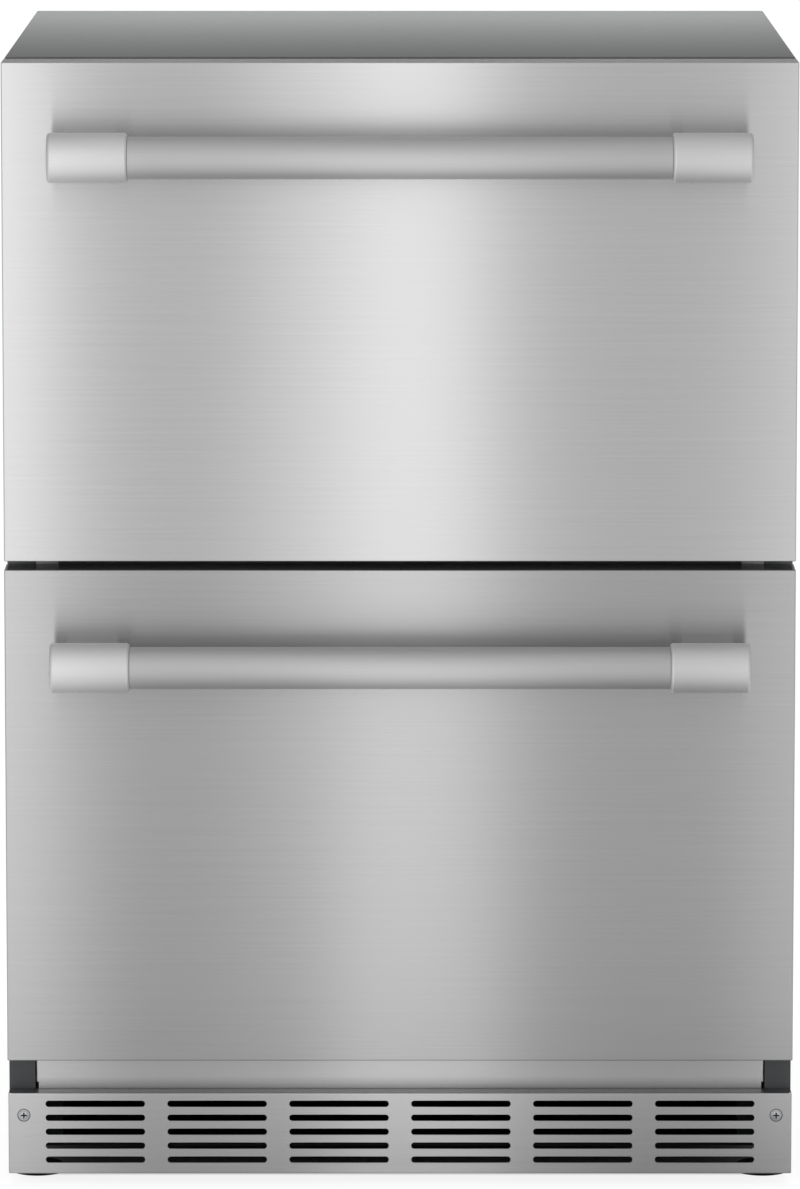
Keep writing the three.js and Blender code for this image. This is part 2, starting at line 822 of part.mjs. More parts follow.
// A channel section of a slide: web at one side, open to the other, seen along Y.
function channel(webX, openX, zs, ys) {
  const inward = Math.sign(openX - webX);
  const xs = [webX, openX].sort((a, b) => a - b);
  const hollow = [webX + inward * slideSheet, openX + inward].sort((a, b) => a - b);
  return block(xs, ys, zs).subtract(block(
    hollow,
    [ys[0] - 1, ys[1] + 1],
    [zs[0] + slideSheet, zs[1] - slideSheet],
  ));
}

// Three nested members on each side: one on the liner, one between, one on the bin.
function slides(name, base) {
  const ys = [sealY + slideSetback, coolCoverY - slideRearGap];
  const step = slideSheet + running;
  for (const [place, side] of [['left', -1], ['right', 1]]) {
    const outside = side * (linerInside - seat);
    const inside = side * (binHalf + seat);
    const level = (depth) => [base + depth * step, base + slideHeight - depth * step];
    piece(`${name}_slide_fixed_${place}`, channel(outside, inside + side * seat, level(0), ys), zincSteel);
    piece(
      `${name}_slide_middle_${place}`,
      channel(outside - side * step, inside + side * seat, level(1), ys),
      zincSteel,
    );
    piece(
      `${name}_slide_inner_${place}`,
      channel(inside, outside - side * 2 * step, level(2), ys),
      zincSteel,
    );
  }
}

// An open-topped bin, its side profile given in Y and Z and its walls all of one thickness.
function bin(profileOf) {
  const outside = alongX(profileOf(0), -binHalf, binHalf);
  const inside = alongX(profileOf(binSheet), -binHalf + binSheet, binHalf - binSheet);
  return outside.subtract(inside);
}

const upperBinBase = mullionTop + binGap;
const upperBinTop = cavityTop - binHeadroom;
const lowerBinBase = cavityFloor + binGap;
const lowerBinTop = mullionBase - binGap;
const lowerStepFloor = humpTop + binGap;
const lowerStepY = humpFront - binGap;
const binRearY = coolCoverY - binRearGap;

function upperBinProfile(wall) {
  const top = upperBinTop + wall;
  return rectangle([sealY + wall, binRearY - wall], [upperBinBase + wall, top]);
}

function lowerBinProfile(wall) {
  const top = lowerBinTop + wall;
  const rear = binRearY - wall;
  return outline([
    [sealY + wall, lowerBinBase + wall],
    [lowerStepY - wall, lowerBinBase + wall],
    [lowerStepY - wall, lowerStepFloor + wall],
    [rear, lowerStepFloor + wall],
    [rear, top],
    [sealY + wall, top],
  ]);
}

const upperBase = seamBase + frontGap;
drawerFront('upper', upperBase, gasketSeamInset, gasketEndInset);
handle('upper', upperBase);
slides('upper', upperBinBase + upperSlideRise);
piece('upper_bin', bin(upperBinProfile), binPlastic);

drawerFront('lower', frontBase, gasketEndInset, gasketSeamInset);
handle('lower', frontBase);
slides('lower', humpTop + lowerSlideRise);
piece('lower_bin', bin(lowerBinProfile), binPlastic);

// ---- Machine space ----

const panSeat = panTop + seat;
const condenserY = backY - condenserBack;
const compressorY = backY - compressorBack;
const compressorTop = panSeat + compressorHeight;
const stubTop = compressorTop + stubHeight;
const dischargeStub = [compressorX, compressorY - stubOffset];
const suctionStub = [compressorX - stubOffset, compressorY];

// Hermetic compressor: a domed can with two tube stubs, on a plate with four rubber feet.
function compressor() {
  const radius = compressorDiameter / 2;
  const base = panSeat + compressorFoot;
  const shoulder = compressorDiameter / 5;
  let body = turned([
    [0, base], [radius * 0.6, base + 2], [radius, base + shoulder], [radius, compressorTop - shoulder],
    [radius * 0.87, compressorTop - shoulder / 2], [radius * 0.6, compressorTop - shoulder / 6],
    [0, compressorTop],
  ], compressorX, compressorY, 20);
  const plateHalf = radius * 0.75;
  body = body.add(block(
    [compressorX - radius, compressorX + radius],
    [compressorY - plateHalf, compressorY + plateHalf],
    [base - 3, base + 4],
  ));
  for (const [dx, dy] of [[-1, -1], [1, -1], [-1, 1], [1, 1]]) {
    const place = [compressorX + dx * (radius - 12), compressorY + dy * (plateHalf - 12), 0];
    body = body.add(bar('z', 18, panSeat, base, place, 10));
  }
  for (const [x, y] of [dischargeStub, suctionStub]) {
    body = body.add(bar('z', pipeDiameter + 3, compressorTop - shoulder, stubTop, [x, y, 0], 10));
  }
  return body;
}
piece('compressor', compressor(), blackPlastic);

// Corners of a tube that passes to and fro across a coil, in one plane.
function serpentine(centreX, width, base, height, passes, y) {
  const corners = [];
  for (let pass = 0; pass < passes; pass += 1) {
    const z = base + (height * pass) / (passes - 1);
    const side = pass % 2 ? -1 : 1;
    corners.push([centreX - (side * width) / 2, y, z], [centreX + (side * width) / 2, y, z]);
  }
  return corners;
}

// Thin plates threaded on a coil's tubes.
function fins(count, centreX, width, ys, zs) {
  const plates = [];
  for (let i = 0; i < count; i += 1) {
    const x = centreX - width / 2 + (width * i) / (count - 1);
    plates.push(block([x - finSheet / 2, x + finSheet / 2], ys, zs));
  }
  return plates;
}

const coilPasses = 5;
const bendReach = 12;

// Condenser: a finned coil standing on the pan, its hot tube brought over from the compressor.
const condenserBase = panSeat + bendReach + pipeDiameter;
const condenserRise = condenserHeight - 2 * (bendReach + pipeDiameter);
function condenser() {
  const rows = serpentine(
    condenserX,
    condenserWidth,
    condenserBase,
    condenserRise,
    coilPasses,
    condenserY,
  );
  const end = rows[rows.length - 1];
  const over = stubTop + 2 * bendReach;
  const route = rounded([
    ...rows,
    [end[0] + bendReach, condenserY, end[2]],
    [end[0] + bendReach, condenserY, over],
    [dischargeStub[0], condenserY, over],
    [dischargeStub[0], dischargeStub[1], over],
    [dischargeStub[0], dischargeStub[1], stubTop + seat],
  ], pipeDiameter / 2 + 2);
  const ys = [condenserY - finDepth / 2, condenserY + finDepth / 2];
  const zs = [panSeat, panSeat + condenserHeight];
  const plates = fins(condenserFins, condenserX, condenserWidth - 2 * bendReach, ys, zs);
  return plates.reduce((coil, plate) => coil.add(plate), pipe(route, pipeDiameter));
}
piece('condenser_coil', condenser(), copper);

// Fan wheel that turns about Y: a hub with pitched blades and a blind bore for the motor's shaft.
function fanWheel(x, y, z, diameter, depth, hub) {
  let wheel = bar('y', hub, y, y + depth, [x, 0, z], 20);
  const root = hub / 2 - 3;
  const chord = diameter / 3;
  const tip = Math.sqrt((diameter / 2) ** 2 - (chord / 2) ** 2);
  const length = tip - root;
  for (let blade = 0; blade < fanBlades; blade += 1) {
    const geometry = new THREE.BoxGeometry(chord, bladeSheet, length);
    geometry.rotateZ(bladePitch);
    geometry.translate(0, 0, root + length / 2);
    geometry.rotateY((2 * Math.PI * blade) / fanBlades);
    geometry.translate(x, y + depth / 2, z);
    wheel = wheel.add(solid(geometry));
  }
  const bore = fanShaft + 2 * running;
  return wheel.subtract(bar('y', bore, y + 3, y + depth + 5, [x, 0, z], 12));
}

// Fan motor on a strap whose two ends come forward to what carries it.
function fanMotor(x, z, wheelY, strapY, seatY, reachOut) {
  const strap = block([x - reachOut, x + reachOut], [strapY, strapY + 2], [z - 7, z + 7]);
  const can = bar('y', motorDiameter, strapY, strapY + motorLength, [x, 0, z], 20);
  const shaft = bar('y', fanShaft, wheelY + 4, strapY + 1, [x, 0, z], 12);
  let motor = strap.add(can).add(shaft);
  for (const side of [-1, 1]) {
    const xs = [x + side * reachOut, x + side * (reachOut - 2)].sort((a, b) => a - b);
    motor = motor.add(block(xs, [seatY, strapY + 1], [z - 7, z + 7]));
  }
  return motor;
}

// Condenser fan: a square shroud standing on the pan, the wheel in its mouth, the motor behind.
const shroudY = backY - shroudBack;
const fanZ = panSeat + shroudSize / 2;
const wheelY = shroudY + shroudSheet;
function fanShroud() {
  const plate = block(
    [condenserX - shroudSize / 2, condenserX + shroudSize / 2],
    [shroudY, shroudY + shroudSheet],
    [panSeat, panSeat + shroudSize],
  );
  const place = [condenserX, 0, fanZ];
  const mouth = fanDiameter + 10 * running;
  const ring = bar('y', mouth + 2 * shroudSheet, shroudY, shroudY + fanSpan, place, 32);
  return plate.add(ring).subtract(bar('y', mouth, shroudY - 1, shroudY + fanSpan + 1, place, 32));
}
piece('condenser_fan_shroud', fanShroud(), darkSteel);
piece(
  'condenser_fan_motor',
  fanMotor(
    condenserX,
    fanZ,
    wheelY,
    wheelY + fanSpan + fanSpan / 2,
    shroudY + shroudSheet + seat,
    shroudSize / 2 - 3,
  ),
  darkSteel,
);
piece(
  'condenser_fan_wheel',
  fanWheel(condenserX, wheelY, fanZ, fanDiameter, fanSpan, fanHub),
  blackPlastic,
);

// Tray that the defrost water dries off from.
function drainTray() {
  const xs = [condenserX - condenserWidth / 2, condenserX + condenserWidth / 2];
  const ys = [coverY - shellSheet - seat - trayDepth, coverY - shellSheet - seat];
  const zs = [panSeat, panSeat + trayHeight];
  return block(xs, ys, zs).subtract(block(
    [xs[0] + traySheet, xs[1] - traySheet],
    [ys[0] + traySheet, ys[1] - traySheet],
    [zs[0] + traySheet, zs[1] + 5],
  ));
}
piece('drain_tray', drainTray(), blackPlastic);

// ---- Evaporator space ----

const liquidX = lineX - linePitch;
const lineLevel = evaporatorBase - 3 * bendReach;
const lowLevel = machineTop - 4 * bendReach;

// Evaporator: a finned coil on two wall brackets, its cold tube led down to the compressor.
function evaporator() {
  const rows = serpentine(
    0,
    -evaporatorWidth,
    evaporatorBase + evaporatorHeight,
    -evaporatorHeight,
    coilPasses,
    lineY,
  );
  const riserX = evaporatorWidth / 2 + bendReach;
  const route = rounded([
    [...suctionStub, stubTop + seat],
    [...suctionStub, lowLevel],
    [lineX, suctionStub[1], lowLevel],
    [lineX, lineY, lowLevel],
    [lineX, lineY, lineLevel],
    [riserX, lineY, lineLevel],
    [riserX, lineY, evaporatorBase + evaporatorHeight],
    ...rows,
  ], pipeDiameter / 2 + 2);
  const width = evaporatorWidth - 2 * bendReach;
  const ys = [lineY - finDepth / 2, lineY + finDepth / 2];
  const zs = [evaporatorBase - bendReach, evaporatorBase + evaporatorHeight + bendReach];
  let coil = pipe(route, pipeDiameter);
  for (const plate of fins(evaporatorFins, 0, width, ys, zs)) {
    coil = coil.add(plate);
  }
  for (const side of [-1, 1]) {
    const x = (side * width) / 2;
    const tab = [evaporatorBase + evaporatorHeight - 30, evaporatorBase + evaporatorHeight];
    coil = coil.add(block([x - finSheet, x + finSheet], [lineY, cavityBack - seat], tab));
  }
  return coil;
}
piece('evaporator_coil', evaporator(), finAluminium);

// Liquid line: a thin tube with its filter drier, from the condenser up to the evaporator.
function liquidLine() {
  const startX = condenserX - condenserWidth / 2 - seat;
  const sideX = startX - bendReach;
  const sideY = wheelY + fanSpan / 2;
  const meetX = -evaporatorWidth / 2 - pipeDiameter - seat;
  const route = rounded([
    [startX, condenserY, condenserBase],
    [sideX, condenserY, condenserBase],
    [sideX, sideY, condenserBase],
    [sideX, sideY, lowLevel],
    [liquidX, sideY, lowLevel],
    [liquidX, lineY, lowLevel],
    [liquidX, lineY, lineLevel],
    [meetX, lineY, lineLevel],
    [meetX, lineY, evaporatorBase],
    [-evaporatorWidth / 2 - seat, lineY, evaporatorBase],
  ], liquidDiameter);
  const drierTop = lowLevel - drierDrop;
  const drier = bar('z', drierDiameter, drierTop - drierLength, drierTop, [sideX, sideY, 0], 12);
  return pipe(route, liquidDiameter).add(drier);
}
piece('liquid_line', liquidLine(), copper);

// Moulded cover in front of the evaporator, with return slots low down and a round fan outlet.
const fanOutlet = coolFanDiameter + 10 * running;
function evaporatorCover() {
  const ys = [coolCoverY, coolCoverY + coverSheet];
  let cover = block(span(linerInside - seat), ys, [humpTop + seat, cavityTop - seat]);
  const slot = alongY(stadium(returnLength, returnHeight), ys[0] - 1, ys[1] + 1);
  for (let column = 0; column < returnSlots; column += 1) {
    const x = (column - (returnSlots - 1) / 2) * returnPitch;
    cover = cover.subtract(slot.translate([x, 0, humpTop + returnRise]));
  }
  return cover.subtract(bar('y', fanOutlet, ys[0] - 1, ys[1] + 1, [0, 0, coolFanZ], 24));
}
piece('evaporator_cover', evaporatorCover(), linerPlastic);

const coolWheelY = coolCoverY + coverSheet;
piece(
  'evaporator_fan_motor',
  fanMotor(
    0,
    coolFanZ,
    coolWheelY,
    coolWheelY + coolFanSpan * 1.5,
    coolWheelY + seat,
    fanOutlet / 2 + 8,
  ),
  linerPlastic,
);
piece(
  'evaporator_fan_wheel',
  fanWheel(0, coolWheelY, coolFanZ, coolFanDiameter, coolFanSpan, coolFanHub),
  linerPlastic,
);

// ---- Controls and light ----

const ceiling = cavityTop - seat;

// Touch control housing under the ceiling, its face sloped towards someone looking down.
function controlPanel() {
  const front = sealY + controlSetback;
  const rear = front + controlDepth;
  const base = ceiling - controlHeight;
  return alongX(outline([
    [front, ceiling],
    [front, ceiling - controlHeight / 3],
    [front + controlHeight, base],
    [rear, base],
    [rear, ceiling],
  ]), -controlWidth / 2, controlWidth / 2);
}
piece('control_panel', controlPanel(), blackPlastic);

const lampY = sealY + controlSetback + controlDepth + 2 * bendReach;
piece(
  'lamp_strip',
  block(span(lampWidth / 2), [lampY, lampY + lampDepth], [ceiling - lampHeight, ceiling]),
  lampLens,
);

export default group;
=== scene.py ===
# Undercounter drawer refrigerator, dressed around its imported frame: two brushed stainless drawers in
# a grey coated cabinet, on four levelling feet behind a slotted toe grille.
# Lengths are in metres, Z is up and the front faces -Y.
import math
import bmesh
import bpy
from mathutils import Matrix, Vector


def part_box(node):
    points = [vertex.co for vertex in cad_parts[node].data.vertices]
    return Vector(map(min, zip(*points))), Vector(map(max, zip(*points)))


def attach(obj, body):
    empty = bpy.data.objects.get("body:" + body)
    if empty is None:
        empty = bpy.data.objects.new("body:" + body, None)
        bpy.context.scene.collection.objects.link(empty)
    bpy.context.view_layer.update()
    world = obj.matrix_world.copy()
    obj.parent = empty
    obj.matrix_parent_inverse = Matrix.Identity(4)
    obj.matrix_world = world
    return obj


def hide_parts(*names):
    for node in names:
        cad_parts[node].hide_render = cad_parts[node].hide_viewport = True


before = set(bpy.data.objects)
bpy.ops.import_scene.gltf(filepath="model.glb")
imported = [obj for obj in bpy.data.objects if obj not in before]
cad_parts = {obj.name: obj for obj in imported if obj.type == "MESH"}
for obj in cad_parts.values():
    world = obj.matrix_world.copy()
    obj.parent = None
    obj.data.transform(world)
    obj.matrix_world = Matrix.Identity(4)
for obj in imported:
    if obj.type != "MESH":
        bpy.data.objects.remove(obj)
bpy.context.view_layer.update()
MM = 0.001

# ---- Camera ----
# The photograph looks at the drawers from a little above the top, with a long lens. Its picture was
# straightened afterwards so that the uprights stay upright, and the camera here comes close to it by
# standing farther off and looking slightly down.
LENS = 239.6
LOOK_DOWN = 7.896
CAMERA_AWAY = 6.0
CAMERA_HEIGHT = 1.2952

face_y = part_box("upper_front_skin")[0].y
camera_data = bpy.data.cameras.new("camera")
camera_data.lens = LENS
camera_data.sensor_width = 36.0
camera = bpy.data.objects.new("camera", camera_data)
camera.location = (0, face_y - CAMERA_AWAY, CAMERA_HEIGHT)
camera.rotation_euler = (math.radians(90 - LOOK_DOWN), 0, 0)
bpy.context.scene.collection.objects.link(camera)
bpy.context.scene.camera = camera
bpy.context.scene.view_settings.view_transform = "Standard"


# ---- Studio ----
# A white room with no corners: the world is white to the camera and in reflections, the pale floor
# keeps a soft shadow, partly cast and partly a painted shadow in its glow, and tall soft lamps that
# stand in front of the drawers, hidden from the camera, draw the bright upright bands on the brushed
# fronts.
def linear(code):
    """An sRGB colour written in hex, as the linear colour that a shader wants."""
    parts = [int(code[i:i + 2], 16) / 255 for i in (0, 2, 4)]
    return tuple(c / 12.92 if c <= 0.04045 else ((c + 0.055) / 1.055) ** 2.4 for c in parts) + (1,)


def add(tree, kind, links=None, **settings):
    """A node with its settings, and its sockets given a value or linked to an output. Another node
    stands for its first output."""
    made = tree.nodes.new(kind)
    for name, value in settings.items():
        setattr(made, name, value)
    for name, value in (links or {}).items():
        if isinstance(value, bpy.types.Node):
            value = value.outputs[0]
        if isinstance(value, bpy.types.NodeSocket):
            tree.links.new(value, made.inputs[name])
        else:
            made.inputs[name].default_value = value
    return made


def seen(tree):
    """1 for rays from the camera, from a shiny surface or through glass, and 0 for light."""
    path = add(tree, "ShaderNodeLightPath")
    shiny = add(tree, "ShaderNodeMath", {
        0: path.outputs["Is Camera Ray"], 1: path.outputs["Is Glossy Ray"]}, operation="MAXIMUM")
    return add(tree, "ShaderNodeMath", {
        0: shiny, 1: path.outputs["Is Transmission Ray"]}, operation="MAXIMUM")


WORLD_LIGHT = 0.75
WORLD_WHITE = 1.0
WORLD_ZENITH = 0.85
WORLD_BEHIND = 0.30
ZENITH_FROM, ZENITH_TO = 0.1, 0.9
BEHIND_FROM, BEHIND_TO = -0.1, 0.8
world = bpy.data.worlds.new("studio")
world.use_nodes = True
bpy.context.scene.world = world
tree = world.node_tree
tree.nodes.clear()
soft = add(tree, "ShaderNodeBackground", {"Color": linear("FFFFFF"), "Strength": WORLD_LIGHT})
way_out = add(tree, "ShaderNodeTexCoord").outputs["Generated"]
height = add(tree, "ShaderNodeSeparateXYZ", {0: way_out})
ceiling = add(tree, "ShaderNodeMapRange", {
    "Value": height.outputs["Z"], "From Min": ZENITH_FROM, "From Max": ZENITH_TO,
    "To Min": WORLD_WHITE, "To Max": WORLD_ZENITH}, interpolation_type="SMOOTHSTEP")
behind = add(tree, "ShaderNodeMapRange", {
    "Value": height.outputs["Y"], "From Min": BEHIND_FROM, "From Max": BEHIND_TO,
    "To Min": 1.0, "To Max": WORLD_BEHIND}, interpolation_type="SMOOTHSTEP")
shaded = add(tree, "ShaderNodeMath", {0: ceiling, 1: behind}, operation="MULTIPLY")
straight = add(tree, "ShaderNodeLightPath").outputs["Is Camera Ray"]
brightness = add(tree, "ShaderNodeMix", {0: straight, 2: shaded, 3: WORLD_WHITE})
white = add(tree, "ShaderNodeBackground", {"Color": linear("FFFFFF"), "Strength": brightness})
room = add(tree, "ShaderNodeMixShader", {0: seen(tree), 1: soft, 2: white})
add(tree, "ShaderNodeOutputWorld", {"Surface": room})

FLOOR_SIZE = 30
GLOW_SEEN = 0.86
GLOW_FAR = 0.80
GLOW_NEAR = 0.36
GLOW_REACH = 0.7
GLOW_POWER = 0.5
UNDER_INSET = 0.05
UNDER_SIDE = 0.016
UNDER_EDGE = 0.014
# Bright bands of light that lie along the floor, as middle, half width, soft edge and the power near
# the cabinet and farther off. They carry the lamps' bands on down over the lower drawer and the
# grille, and fan out away from it. The band whose power starts below zero is a darker patch.
FLOOR_BANDS = (
    (-0.50, 0.19, 0.12, 0.36, 0.68),
    (0.0135, 0.03, 0.08, 0.26, 0.56),
    (-0.06, 0.02, 0.10, 0.00, 0.16),
    (0.05, 0.02, 0.10, 0.00, 0.16),
    (0.23, 0.03, 0.09, -0.14, 0.00),
    (0.50, 0.20, 0.07, 0.06, 0.42),
)
BAND_SPREAD = 6.0
BANDS_WEAK = 0.18
BANDS_FULL = 0.50
bpy.ops.mesh.primitive_plane_add(size=FLOOR_SIZE, location=(0, 0, 0))
floor = bpy.context.object
floor.name = "floor"
paper = bpy.data.materials.new("seamless_paper")
paper.use_nodes = True
tree = paper.node_tree
tree.nodes.clear()
matte = add(tree, "ShaderNodeBsdfDiffuse", {"Color": linear("E6E6E6")})
front_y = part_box("toe_grille")[0].y
half_wide, back_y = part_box("outer_shell")[1].x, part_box("outer_shell")[1].y
spot = add(tree, "ShaderNodeVectorMath", {
    0: add(tree, "ShaderNodeTexCoord").outputs["Object"],
    1: (0, (front_y + back_y) / 2, 0)}, operation="SUBTRACT")


def away(side, front):
    """The distance of a spot of the floor from the cabinet's outline, drawn in by some metres."""
    beside = add(tree, "ShaderNodeVectorMath", {
        0: add(tree, "ShaderNodeVectorMath", {0: spot}, operation="ABSOLUTE"),
        1: (half_wide - side, (back_y - front_y) / 2 - front, 0)}, operation="SUBTRACT")
    outside = add(tree, "ShaderNodeVectorMath", {0: beside, 1: (0, 0, 0)}, operation="MAXIMUM")
    length = add(tree, "ShaderNodeVectorMath", {0: outside}, operation="LENGTH")
    return length.outputs["Value"]


# Painted shadow: the glow that reflections see fades towards the cabinet.
near = add(tree, "ShaderNodeMapRange", {"Value": away(0, 0), "From Max": GLOW_REACH})
rise = add(tree, "ShaderNodeMath", {0: near, 1: GLOW_POWER}, operation="POWER")
far = add(tree, "ShaderNodeMath", {0: rise, 1: GLOW_FAR}, operation="MULTIPLY")
mirrored = add(tree, "ShaderNodeMath", {0: far, 1: GLOW_NEAR}, operation="MAXIMUM")
part = add(tree, "ShaderNodeSeparateXYZ", {0: add(tree, "ShaderNodeTexCoord").outputs["Object"]})
ahead = add(tree, "ShaderNodeMath", {0: face_y, 1: part.outputs["Y"]}, operation="SUBTRACT")
widening = add(tree, "ShaderNodeMath", {
    0: ahead, 1: 1 / BAND_SPREAD, 2: 1.0}, operation="MULTIPLY_ADD")
sideways = add(tree, "ShaderNodeMath", {0: part.outputs["X"], 1: widening}, operation="DIVIDE")
for middle, flat, fade, weak, full in FLOOR_BANDS:
    power = add(tree, "ShaderNodeMapRange", {
        "Value": ahead, "From Min": BANDS_WEAK, "From Max": BANDS_FULL,
        "To Min": weak, "To Max": full}, interpolation_type="SMOOTHSTEP")
    off = add(tree, "ShaderNodeMath", {0: sideways, 1: middle}, operation="SUBTRACT")
    distance = add(tree, "ShaderNodeMath", {0: off}, operation="ABSOLUTE")
    band = add(tree, "ShaderNodeMapRange", {
        "Value": distance, "From Min": flat, "From Max": flat + fade,
        "To Min": power, "To Max": 0.0}, interpolation_type="SMOOTHSTEP")
    mirrored = add(tree, "ShaderNodeMath", {0: mirrored, 1: band}, operation="ADD")
straight = add(tree, "ShaderNodeLightPath").outputs["Is Camera Ray"]
either = add(tree, "ShaderNodeMix", {0: straight, 2: mirrored, 3: GLOW_SEEN})
# Painted shadow: the glow goes out under the cabinet's footprint, for the camera too.
out_of_painted_shadow = add(tree, "ShaderNodeMapRange", {
    "Value": away(UNDER_SIDE, UNDER_INSET), "From Max": UNDER_EDGE})
strength = add(tree, "ShaderNodeMath", {0: either, 1: out_of_painted_shadow}, operation="MULTIPLY")
glow = add(tree, "ShaderNodeEmission", {"Color": linear("FFFFFF"), "Strength": strength})
shadowed = add(tree, "ShaderNodeBsdfDiffuse", {"Color": linear("808080")})
lit = add(tree, "ShaderNodeAddShader", {0: glow, 1: shadowed})
pale = add(tree, "ShaderNodeMixShader", {0: seen(tree), 1: matte, 2: lit})
add(tree, "ShaderNodeOutputMaterial", {"Surface": pale})
floor.data.materials.append(paper)


def softbox(name, place, aim, wide, high, power):
    """A soft rectangular lamp at a place, turned to a point, which the camera itself doesn't see."""
    lamp = bpy.data.lights.new(name, "AREA")
    lamp.shape = "RECTANGLE"
    lamp.size = wide
    lamp.size_y = high
    lamp.energy = power
    lit_from = bpy.data.objects.new(name, lamp)
    lit_from.location = place
    lit_from.rotation_euler = (Vector(aim) - Vector(place)).to_track_quat("-Z", "Z").to_euler()
    lit_from.visible_camera = False
    bpy.context.scene.collection.objects.link(lit_from)
    return lit_from


BAND_Y = -2.6
BAND_HEIGHT = 3.0
ABOVE_PLACE = (0, 0.46, 1.35)
ABOVE_AIM = (0, 0.32, 0.87)
ABOVE_SPREAD = 80
for name, x, wide, power in (
    ("band_left", -0.582, 0.413, 4.4),
    ("band_middle", 0.0188, 0.131, 1.25),
    ("band_beside_middle", -0.103, 0.1125, 0.55),
    ("band_right", 0.630, 0.413, 2.3),
):
    softbox(name, (x, BAND_Y, BAND_HEIGHT / 2), (x, 0, BAND_HEIGHT / 2), wide, BAND_HEIGHT, power)
top_lamp = softbox("above_the_top", ABOVE_PLACE, ABOVE_AIM, wide=1.1, high=0.20, power=2.3)
top_lamp.data.spread = math.radians(ABOVE_SPREAD)


# ---- Drawer fronts ----
# Each front is a pan folded from 0.8 mm stainless sheet, brushed from side to side with a fine belt.
# Its edges are turned back by 38 mm round the foam, with a tight outside bend.
X, Y, Z = 0, 1, 2
MERGE = 0.00001
SMOOTH_BELOW = math.radians(35)


def placed(name):
    """The primitive just added, named and with its place taken into its mesh."""
    bpy.ops.object.transform_apply()
    made = bpy.context.object
    made.name = name
    return made


def block(name, low, high):
    """A box between two corners."""
    low, high = Vector(low), Vector(high)
    bpy.ops.mesh.primitive_cube_add(size=1, location=(low + high) / 2, scale=high - low)
    return placed(name)


def pick(*pieces):
    """Selects some pieces and no others, and makes the first one active."""
    bpy.ops.object.select_all(action="DESELECT")
    for piece in pieces:
        piece.select_set(True)
    bpy.context.view_layer.objects.active = pieces[0]


def choose(piece, kind, test):
    """Opens a piece for editing with only those faces, edges or corners selected that pass a test:
    of middle and normal, of two ends, or of the place."""
    bpy.context.view_layer.objects.active = piece
    bpy.ops.object.mode_set(mode="EDIT")
    bpy.ops.mesh.select_all(action="DESELECT")
    bpy.ops.mesh.select_mode(type=kind)
    mesh = bmesh.from_edit_mesh(piece.data)
    for face in mesh.faces if kind == "FACE" else []:
        face.select_set(test(face.calc_center_median(), face.normal))
    for edge in mesh.edges if kind == "EDGE" else []:
        edge.select_set(test(edge.verts[0].co, edge.verts[1].co))
    for vert in mesh.verts if kind == "VERT" else []:
        vert.select_set(test(vert.co))
    mesh.select_flush_mode()
    bmesh.update_edit_mesh(piece.data)


def close(piece):
    """Merges what lies together and leaves editing."""
    bpy.context.view_layer.objects.active = piece
    bpy.ops.object.mode_set(mode="EDIT")
    bpy.ops.mesh.select_all(action="SELECT")
    bpy.ops.mesh.remove_doubles(threshold=MERGE)
    bpy.ops.object.mode_set(mode="OBJECT")


def modify(piece, kind, **settings):
    """Adds a modifier with its settings and applies it."""
    pick(piece)
    modifier = piece.modifiers.new(kind.lower(), kind)
    for name, value in settings.items():
        setattr(modifier, name, value)
    bpy.ops.object.modifier_apply(modifier=modifier.name)


def ease(piece, reach, segments, test):
    """Rounds the edges that pass a test of their two ends."""
    choose(piece, "EDGE", test)
    bpy.ops.mesh.bevel(offset=reach, segments=segments)
    close(piece)


def thicken(piece, sheet, outwards=False):
    """Gives a surface the thickness of a sheet, inwards or outwards."""
    modify(piece, "SOLIDIFY", thickness=sheet, offset=1 if outwards else -1, use_even_offset=True)


def smooth(piece):
    """Shades a piece smooth but for its sharper edges, and keeps its large faces flat."""
    pick(piece)
    bpy.ops.object.shade_smooth_by_angle(angle=SMOOTH_BELOW)
    modify(piece, "WEIGHTED_NORMAL", keep_sharp=True, weight=100)


def mount(piece, body, slot, material, *nodes):
    """Gives a piece its material, and says what it rides on and which nodes it stands for."""
    piece.data.materials.clear()
    piece.data.materials.append(material)
    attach(piece, body)
    if nodes:
        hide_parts(*nodes)


def finish(piece, *mounting):
    """Smooths a piece and mounts it."""
    smooth(piece)
    mount(piece, *mounting)


def surface(name, colour, metallic, roughness, **sockets):
    """A material with its shader, and the piece's own coordinates in millimetres."""
    made = bpy.data.materials.new(name)
    made.use_nodes = True
    tree = made.node_tree
    shader = tree.nodes["Principled BSDF"]
    shader.inputs["Base Color"].default_value = linear(colour)
    shader.inputs["Metallic"].default_value = metallic
    shader.inputs["Roughness"].default_value = roughness
    for socket, value in sockets.items():
        shader.inputs[socket.replace("_", " ")].default_value = value
    place = add(tree, "ShaderNodeTexCoord")
    scale = add(tree, "ShaderNodeMapping", {
        "Vector": place.outputs["Object"], "Scale": (1 / MM, 1 / MM, 1 / MM)})
    return made, tree, shader, scale


def stretched(tree, millimetres, grain):
    """Coordinates in which one unit of a pattern has the given size in millimetres."""
    return add(tree, "ShaderNodeMapping", {
        "Vector": millimetres, "Scale": tuple(1 / size for size in grain)})


def tint(tree, shader, factor, dark, light):
    """Colours a shader between two tones by a pattern."""
    shade = add(tree, "ShaderNodeMix", {
        0: factor, 6: linear(dark), 7: linear(light)}, data_type="RGBA")
    tree.links.new(shade.outputs[2], shader.inputs["Base Color"])


def roughen(tree, shader, factor, low, high):
    """Varies a shader's roughness between two values by a pattern."""
    spread = add(tree, "ShaderNodeMapRange", {"Value": factor, "To Min": low, "To Max": high})
    tree.links.new(spread.outputs[0], shader.inputs["Roughness"])


def emboss(tree, shader, height, depth, strength):
    """Raises a surface by a pattern, by a depth in metres."""
    bump = add(tree, "ShaderNodeBump", {"Height": height, "Distance": depth, "Strength": strength})
    tree.links.new(bump.outputs[0], shader.inputs["Normal"])


